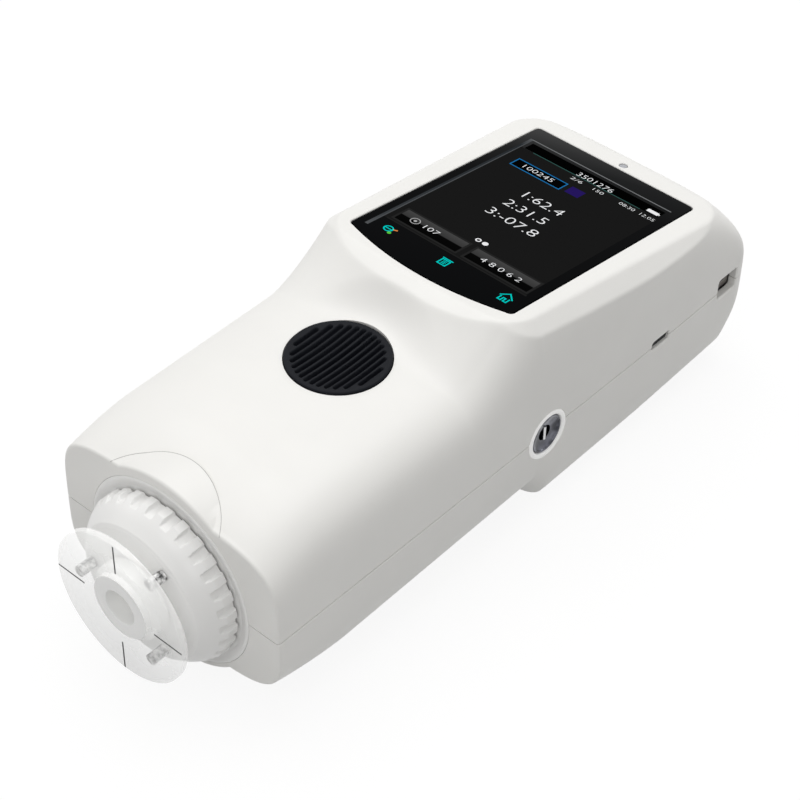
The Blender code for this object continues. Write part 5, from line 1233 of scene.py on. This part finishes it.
def make_screw(number, x, y):
    """A countersunk screw with a hexagonal socket, in its well."""
    end = SCREW_HEAD + SCREW_LENGTH
    corners = [(0, end), (SCREW_RADIUS, end), (SCREW_RADIUS, SCREW_HEAD), (SCREW_HEAD_RADIUS, SCREW_HEAD)]
    corners += [(SCREW_HEAD_RADIUS, 0), (0, 0)]
    z = SCREW_SEAT_Z - GAP - SCREW_HEAD
    shape = upright(turned(rounded(corners, GAP, 3, keep_axis=True), 40), x, y, z)
    screw = raw_object(f"housing_screw_{number}_fine", shape)
    cut(screw, prism(ring_outline(x, y, SCREW_RADIUS, 6), z - OVERRUN, z + SCREW_HEAD * 0.6))
    dress(screw, "steel", nodes=(f"housing_screw_{number}",))


# Nose


def make_collar():
    front = NOSE_FACE_Y - COLLAR_PROUD
    rear = front + COLLAR_DEPTH
    corners = [(COLLAR_RADIUS, rear), (COLLAR_RADIUS, front), (COLLAR_RADIUS - COLLAR_RIM, front)]
    corners += [(COLLAR_RADIUS - COLLAR_WALL, COLLAR_SEAT_Y), (COLLAR_BORE_RADIUS, COLLAR_SEAT_Y)]
    corners.append((COLLAR_BORE_RADIUS, rear))
    shape = turned(rounded(corners, COLLAR_RIM / 2, 5), 192)
    piece("collar_ring_fine", shape, "white", nodes=("collar_ring",))


def drum_radius(turn, radius, along):
    """The drum's radius where the scallops bite into its band."""
    pitch = 2 * math.pi / SCALLOP_COUNT
    side = abs((turn + pitch / 2) % pitch - pitch / 2) * DRUM_BAND_RADIUS
    flank = smooth(blend(side, SCALLOP_HALF_WIDTH - SCALLOP_FLANK, SCALLOP_HALF_WIDTH))
    bite = DRUM_BAND_RADIUS - SCALLOP_DEPTH * (1 - flank)
    ending = smooth(blend(along, DRUM_BAND_Y - SCALLOP_RUN_OUT, DRUM_BAND_Y - SCALLOP_RUN_OUT * 0.6))
    return mix(radius, np.minimum(radius, bite), ending)


def make_drum():
    """The grip drum: a cone, a scalloped band and the neck that runs into the collar."""
    cone_steps, band_steps = 24, 6
    edge = DRUM_FACE_EDGE
    band_rear = DRUM_REAR_Y - DRUM_REAR_EDGE
    profile = [
        (DRUM_NECK_RADIUS, DRUM_NECK_Y),
        (DRUM_NECK_RADIUS, DRUM_REAR_Y),
        (DRUM_BAND_RADIUS - DRUM_REAR_EDGE, DRUM_REAR_Y),
    ]
    for i in range(band_steps + 1):
        profile.append((DRUM_BAND_RADIUS, mix(band_rear, DRUM_BAND_Y + edge, i / band_steps)))
    for i in range(cone_steps + 1):
        share = i / cone_steps
        radius = mix(DRUM_BAND_RADIUS - edge / 2, DRUM_FACE_RADIUS + edge / 2, share)
        radius += DRUM_CONE_SWELL * math.sin(math.pi * share)
        profile.append((radius, mix(DRUM_BAND_Y, DRUM_FACE_Y + edge / 2, share)))
    profile += [
        (DRUM_FACE_RADIUS - edge, DRUM_FACE_Y),
        (DRUM_BORE_RADIUS, DRUM_FACE_Y),
        (DRUM_BORE_RADIUS, DRUM_FACE_Y + edge),
        (DRUM_REAR_BORE_RADIUS, DRUM_NECK_Y),
    ]
    shape = turned(rounded(profile, edge, 3), SCALLOP_COUNT * 28, drum_radius)
    piece("drum_fine", shape, "white", "drum", ("aperture_drum",), angle=math.radians(50))


def make_plate():
    """The clear locating plate and its posts."""
    bore = HUB_SPIGOT_RADIUS + GAP / 2
    corners = ((PLATE_RADIUS, PLATE_THICKNESS), (PLATE_RADIUS, 0), (bore, 0), (bore, PLATE_THICKNESS))
    plate = turned(rounded(corners, GAP, 3), 160)
    piece("clear_plate", plate, "clear", "locator", ("locating_plate",))
    post = rod(POST_RADIUS, DRUM_FACE_Y - PLATE_THICKNESS - GAP, 32)
    posts = []
    for angle in POST_ANGLES:
        x, z = POST_RING_RADIUS * math.cos(angle), POST_RING_RADIUS * math.sin(angle)
        posts.append(moved(post, x, PLATE_THICKNESS + TINY, z))
    piece("plate_posts", combine(*posts), "clear", "locator", look="posts")


def make_marks():
    """The four printed cross marks on the plate."""
    outer = PLATE_RADIUS - GAP
    inner = PLATE_RADIUS * MARK_INNER_SHARE
    marks = []
    for turn in (0, math.pi / 2, math.pi, 1.5 * math.pi):
        along = np.array((math.cos(turn), math.sin(turn)))
        side = np.array((-along[1], along[0])) * MARK_WIDTH / 2
        corners = (along * inner - side, along * outer - side, along * outer + side, along * inner + side)
        marks.append(loft([[(point[0], y, point[1]) for point in corners] for y in (-LAYER, LAYER)]))
    piece("plate_marks", combine(*marks), "black", "locator", look="ink")


def make_hub():
    rear = DRUM_FACE_Y - GAP
    front = PLATE_THICKNESS + GAP
    corners = [(HUB_RADIUS, rear), (HUB_RADIUS, front), (HUB_SPIGOT_RADIUS, front)]
    corners += [(HUB_SPIGOT_RADIUS, GAP / 2), (APERTURE_RADIUS, GAP / 2)]
    corners.append((APERTURE_RADIUS + APERTURE_FLARE, rear))
    shape = turned(rounded(corners, GAP, 3), 128)
    piece("hub_fine", shape, "white", "locator", ("aperture_hub",), look="hub")


# Button


def make_button():
    """The round rubber cap: a raised rim round grooves that run along the handle."""
    rim = BUTTON_RADIUS - GROOVE_MARGIN
    edge = BUTTON_EDGE
    radii = list(np.linspace(0, rim + edge, 78)) + [BUTTON_RADIUS - edge]
    radii += [BUTTON_RADIUS - edge + edge * math.sin(turn) for turn in np.linspace(0.3, math.pi / 2, 4)]
    turns = np.linspace(0, 2 * math.pi, 360, endpoint=False)
    rings = []
    for radius in radii:
        x, y = radius * np.cos(turns), radius * np.sin(turns)
        dish = BUTTON_DISH * (1 - (min(radius, rim + edge) / (rim + edge)) ** 2)
        past = max(radius - (BUTTON_RADIUS - edge), 0)
        fall = edge - math.sqrt(max(edge**2 - past**2, 0))
        z = BUTTON_TOP_Z - dish - fall - groove_depth(x, y, rim - edge)
        rings.append(np.stack((x, y + BUTTON_Y, z), 1))
    high = PARTING_Z + HANDLE_RISE - WALL - 2 * GAP
    low = high - BUTTON_FLANGE
    sides = ((BUTTON_RADIUS, high), (BUTTON_FLANGE_RADIUS, high), (BUTTON_FLANGE_RADIUS, low))
    for radius, z in sides + ((BUTTON_STEM_RADIUS, low), (BUTTON_STEM_RADIUS, low - BUTTON_STEM_LENGTH)):
        ring = (radius * np.cos(turns), radius * np.sin(turns) + BUTTON_Y, np.full(len(turns), z))
        rings.append(np.stack(ring, 1))
    shape = loft(rings)
    nodes = ("measure_button",)
    piece("button_cap", shape, "button", "button", nodes, angle=math.radians(60))


def groove_depth(x, y, reach):
    """How deep the grooves lie at places of the button's top, with soft edges and round ends."""
    middle = (GROOVE_COUNT - 1) / 2
    index = np.clip(np.round(x / GROOVE_PITCH), -middle, middle)
    off = np.abs(x - index * GROOVE_PITCH)
    half_length = np.sqrt(np.maximum(reach**2 - (np.abs(index) * GROOVE_PITCH + GROOVE_WIDTH / 2) ** 2, 0))
    beyond = np.maximum(np.abs(y) - (half_length - GROOVE_WIDTH / 2), 0)
    away = np.hypot(off, beyond)
    soft = GROOVE_WIDTH * GROOVE_SOFT_SHARE
    return GROOVE_DEPTH * (1 - smooth(blend(away, GROOVE_WIDTH / 2 - soft, GROOVE_WIDTH / 2 + soft)))


# Strap anchor


def make_anchor():
    """The bright cup with its cross bar, in a round white lip."""
    low, high = ANCHOR_FACE_X - ANCHOR_LENGTH, ANCHOR_FACE_X + ANCHOR_LIP_PROUD
    bore = ANCHOR_RADIUS + GAP / 2
    corners = ((ANCHOR_LIP_RADIUS, high), (ANCHOR_LIP_RADIUS, low), (bore, low), (bore, high))
    lip = rounded(corners, ANCHOR_LIP_EDGE, 5)
    # The lip's material glows, painted light on its white plastic.
    piece("anchor_lip", sideways(turned(lip, 96), 0, ANCHOR_Y, 0), "white", look="bright")
    floor = ANCHOR_FACE_X - ANCHOR_HOLE_DEPTH
    cup = [(0, floor), (ANCHOR_HOLE_RADIUS, floor)]
    for turn in np.linspace(math.asin(ANCHOR_HOLE_RADIUS / ANCHOR_DISH_RADIUS), math.pi / 2, 21):
        cup.append((ANCHOR_DISH_RADIUS * math.sin(turn), ANCHOR_FACE_X - ANCHOR_DISH_DEPTH * math.cos(turn)))
    cup += [(ANCHOR_RADIUS - GAP, ANCHOR_FACE_X + GAP / 2), (ANCHOR_RADIUS, ANCHOR_FACE_X - GAP)]
    cup += [(ANCHOR_RADIUS, low), (0, low)]
    shape = sideways(turned(cup, 96), 0, ANCHOR_Y, 0)
    piece("strap_cup_fine", shape, "chrome", nodes=("strap_cup",))
    bar = rod(ANCHOR_BAR_RADIUS, 2 * ANCHOR_HOLE_RADIUS - GAP, 40)
    shape = upright(bar, ANCHOR_FACE_X - ANCHOR_DISH_DEPTH, ANCHOR_Y, GAP / 2 - ANCHOR_HOLE_RADIUS)
    piece("strap_bar_fine", shape, "chrome", nodes=("strap_bar",), look="steel")


# Screen


def make_glass():
    top = -GLASS_SINK
    outline = glass_outline(-GAP / 2)
    rings = [flat_ring(outline, top - GLASS_THICKNESS), flat_ring(outline, top - GLASS_EDGE)]
    rings.append(flat_ring(glass_outline(-GAP / 2 - GLASS_EDGE), top))
    piece("cover_glass", loft(rings), "glass", nodes=("touch_glass",), place=BEZEL)


def make_indicator():
    corners = ((0, 0), (INDICATOR_RADIUS, -GAP), (INDICATOR_RADIUS, -ROOF), (0, -ROOF))
    shape = turned(rounded(corners, GAP / 2, 3, keep_axis=True), 32)
    shape = upright(shape, INDICATOR_X, INDICATOR_S, 0)
    nodes = ("indicator_window",)
    piece("indicator_lens", shape, "indicator", nodes=nodes, place=BEZEL)


def make_inks():
    """The screen's glowing colours, and the two that change along the slope; the panel's side edge among them
    is a painted highlight.
    """
    for name, colour in INKS.items():
        materials["lit_" + name] = lit("lit_" + name, colour)
    # The side edge's glow is a painted highlight, brightest at its two ends.
    materials["lit_side"] = lit_slope(
        "lit_side",
        SIDE_EDGE_FRONT,
        SIDE_EDGE_REAR,
        (0.0, (0.085, 0.09, 0.095)),
        (0.1, (0.042, 0.047, 0.052)),
        (0.45, (0.026, 0.030, 0.034)),
        (0.93, (0.020, 0.024, 0.028)),
        (1.0, (0.10, 0.105, 0.11)),
    )
    stops = ((0.0, grey(0.001)), (0.49, grey(0.0015)), (0.52, grey(0.036)), (1.0, grey(0.058)))
    materials["lit_key"] = lit_slope("lit_key", KEY_FRONT, KEY_REAR, *stops)


def layer_heights(layer):
    """The low and high side of one of the picture's thin layers on the glass."""
    low = layer * LAYER - GLASS_SINK
    return low, low + LAYER * 0.8


def patch(outline, layer):
    return prism(outline, *layer_heights(layer))


def line(path, width, layer, closed=True):
    return ribbon(path, width, *layer_heights(layer), closed=closed)


def show(name, ink, *shapes):
    piece(name, combine(*shapes), "screen", look="lit_" + ink, place=BEZEL)


def numerals(text, low_x, low_y, high_x, high_y, layer):
    """Plain numerals drawn out to fill a rectangle."""
    curve = bpy.data.curves.new("numerals", "FONT")
    curve.body = text
    curve.resolution_u = 3
    curve.extrude = 0.5
    curve.offset = -0.014
    holder = bpy.data.objects.new("numerals", curve)
    bpy.context.scene.collection.objects.link(holder)
    bpy.context.view_layer.update()
    graph = bpy.context.evaluated_depsgraph_get()
    mesh = bpy.data.meshes.new_from_object(holder.evaluated_get(graph))
    bpy.data.objects.remove(holder)
    points = np.array([tuple(vertex.co) for vertex in mesh.vertices])
    faces = [tuple(face.vertices) for face in mesh.polygons]
    bpy.data.meshes.remove(mesh)
    low, high = points.min(0), points.max(0)
    low_z, high_z = layer_heights(layer)
    place_low, place_high = np.array((low_x, low_y, low_z)), np.array((high_x, high_y, high_z))
    return place_low + (points - low) / (high - low) * (place_high - place_low), faces


def make_picture():
    """Every lit thing on the screen: panel, readings, soft keys and signs, and the panel's left and rear
    edges, which glow as painted highlights.
    """
    make_inks()
    for name, ink, layer, place in PICTURE_FACES:
        show(name, ink, patch(rectangle(*place), layer))
    for name, ink, width, place in PICTURE_BORDERS:
        show(name, ink, line(rectangle(*place), width, 3))
    for name, text, layer, place in PICTURE_NUMBERS:
        show(name, "white", numerals(text, *place, layer))
    hollow_radius = PAGE_DOT_RADIUS - SIGN_LINE / 2
    hollow = line(ring_outline(0, PAGE_DOT_Y, hollow_radius), SIGN_LINE, 3)
    full = patch(ring_outline(PAGE_DOT_PITCH, PAGE_DOT_Y, PAGE_DOT_RADIUS), 3)
    show("page_dots", "white", hollow, full)
    case = patch(rounded(rectangle(*CHARGE_CASE), CHARGE_CORNER), 3)
    show("charge_sign", "white", case, patch(rectangle(*CHARGE_TIP), 3))
    ring = line(ring_outline(*KEY_RING_PLACE, KEY_RING_RADIUS), KEY_RING_LINE, 4)
    show("key_ring", "grey", ring, patch(ring_outline(*KEY_RING_PLACE, KEY_DOT_RADIUS, 20), 4))
    make_signs()


def make_signs():
    """Three signs on the glass in front of the panel: colours, list and home."""
    globe = line(ring_outline(*GLOBE_PLACE, GLOBE_RADIUS), SIGN_LINE, 1)
    show("icon_globe", "teal", globe, line(GLOBE_BAR, SIGN_LINE, 1, closed=False))
    show("icon_brush", "orange", line(BRUSH, BRUSH_WIDTH, 1, closed=False))
    show("icon_leaf", "green", patch(ring_outline(*LEAF_PLACE, LEAF_RADIUS, 20), 1))
    page = line(rectangle(*PAGE), SIGN_LINE, 1)
    tab = line(PAGE_TAB, SIGN_LINE, 1, closed=False)
    rows = [line([(x, y) for x in PAGE_ROW_X], PAGE_ROW_WIDTH, 2, closed=False) for y in PAGE_ROW_YS]
    show("icon_list", "teal", page, tab, *rows)
    roof = line(HOME_ROOF, SIGN_LINE, 1, closed=False)
    body = line(HOME_LEFT_WALL + HOME_RIGHT_WALL, SIGN_LINE, 1, closed=False)
    show("icon_home", "teal", roof, body)


# Solids that stay, and the studio


def dress_solids():
    """Every solid takes the material of its slot, also those that stay inside."""
    for row in frame["record"]["subparts"]:
        obj = frame["nodes"][row["node"]]
        obj.data.materials.clear()
        obj.data.materials.append(materials[row["material_slot"]])


def make_studio():
    bpy.context.scene.view_settings.view_transform = "Standard"
    make_world()
    make_floor()
    for name, place, target, size, power in LIGHTS:
        light = bpy.data.lights.new(name, "AREA")
        light.shape = "DISK"
        light.size = size
        light.energy = power
        lamp = bpy.data.objects.new(name, light)
        bpy.context.scene.collection.objects.link(lamp)
        lamp.location = place
        lamp.rotation_euler = (Vector(target) - Vector(place)).to_track_quat("-Z", "Y").to_euler()


def shader(tree, kind, colour, strength=None):
    """A shader node of one colour, and its output."""
    node = tree.nodes.new("ShaderNode" + kind)
    node.inputs["Color"].default_value = (*colour, 1)
    if strength is not None:
        node.inputs["Strength"].default_value = strength
    return node.outputs[0]


def mix_by_ray(tree, unseen, seen, output_kind):
    """Shows one shader to camera, glossy and transmission rays, and lights the scene with the other."""
    rays = tree.nodes.new("ShaderNodeLightPath")
    share = rays.outputs["Is Camera Ray"]
    for name in ("Is Glossy Ray", "Is Transmission Ray"):
        greatest = tree.nodes.new("ShaderNodeMath")
        greatest.operation = "MAXIMUM"
        tree.links.new(share, greatest.inputs[0])
        tree.links.new(rays.outputs[name], greatest.inputs[1])
        share = greatest.outputs[0]
    choose = tree.nodes.new("ShaderNodeMixShader")
    for i, source in enumerate((share, unseen, seen)):
        tree.links.new(source, choose.inputs[i])
    output = tree.nodes.new(output_kind)
    tree.links.new(choose.outputs[0], output.inputs["Surface"])


def make_world():
    world = bpy.data.worlds.new("studio")
    bpy.context.scene.world = world
    world.use_nodes = True
    tree = world.node_tree
    tree.nodes.clear()
    soft = shader(tree, "Background", (1.0, 0.995, 0.985), WORLD_LIGHT)
    white = shader(tree, "Background", grey(1), 1.0)
    mix_by_ray(tree, soft, white, "ShaderNodeOutputWorld")


def make_floor():
    """A white floor. Where it is seen it glows a little, so that it is white and only the shadow shows."""
    half = FLOOR_SIZE / 2
    mesh = bpy.data.meshes.new("floor")
    mesh.from_pydata([(x, y, 0) for x, y in rectangle(-half, -half, half, half)], [], [(0, 1, 2, 3)])
    floor = bpy.data.objects.new("floor", mesh)
    bpy.context.scene.collection.objects.link(floor)
    material = bpy.data.materials.new("floor_paper")
    material.use_nodes = True
    tree = material.node_tree
    tree.nodes.clear()
    seen = tree.nodes.new("ShaderNodeAddShader")
    tree.links.new(shader(tree, "BsdfDiffuse", grey(FLOOR_SHADE)), seen.inputs[0])
    tree.links.new(shader(tree, "Emission", grey(1), 1 - FLOOR_SHADE * FLOOR_SHADE_SHARE), seen.inputs[1])
    plain = shader(tree, "BsdfDiffuse", grey(FLOOR_LIGHT))
    mix_by_ray(tree, plain, seen.outputs[0], "ShaderNodeOutputMaterial")
    floor.data.materials.append(material)


def make_camera():
    """The photograph's camera, placed so that the plate's middle falls on its pixel."""
    across, rise = math.cos(CAMERA_ELEVATION), math.sin(CAMERA_ELEVATION)
    back = Vector((math.sin(CAMERA_AZIMUTH) * across, -math.cos(CAMERA_AZIMUTH) * across, rise))
    level_right = Vector((math.cos(CAMERA_AZIMUTH), math.sin(CAMERA_AZIMUTH), 0))
    level_up = back.cross(level_right)
    right = level_right * math.cos(CAMERA_ROLL) + level_up * math.sin(CAMERA_ROLL)
    up = level_up * math.cos(CAMERA_ROLL) - level_right * math.sin(CAMERA_ROLL)
    pixel = CAMERA_DISTANCE / FOCAL_PIXELS
    off_right = (PLATE_CENTRE_PIXEL[0] - IMAGE_PIXELS / 2) * pixel
    off_up = (IMAGE_PIXELS / 2 - PLATE_CENTRE_PIXEL[1]) * pixel
    data = bpy.data.cameras.new("camera")
    data.sensor_width = SENSOR * 1000
    data.lens = data.sensor_width * FOCAL_PIXELS / IMAGE_PIXELS
    data.clip_start = CAMERA_DISTANCE / 50
    data.clip_end = FLOOR_SIZE * 4
    camera = bpy.data.objects.new("camera", data)
    bpy.context.scene.collection.objects.link(camera)
    place = NOSE.to_translation() - right * off_right - up * off_up + back * CAMERA_DISTANCE
    turn = Matrix((right, up, back)).transposed().to_4x4()
    camera.matrix_world = Matrix.Translation(place) @ turn
    bpy.context.scene.camera = camera


def main():
    make_camera()
    materials.update(make_materials())
    dress_solids()
    make_housing()
    make_collar()
    make_drum()
    make_plate()
    make_marks()
    make_hub()
    make_button()
    make_anchor()
    make_glass()
    make_indicator()
    make_picture()
    make_studio()


main()
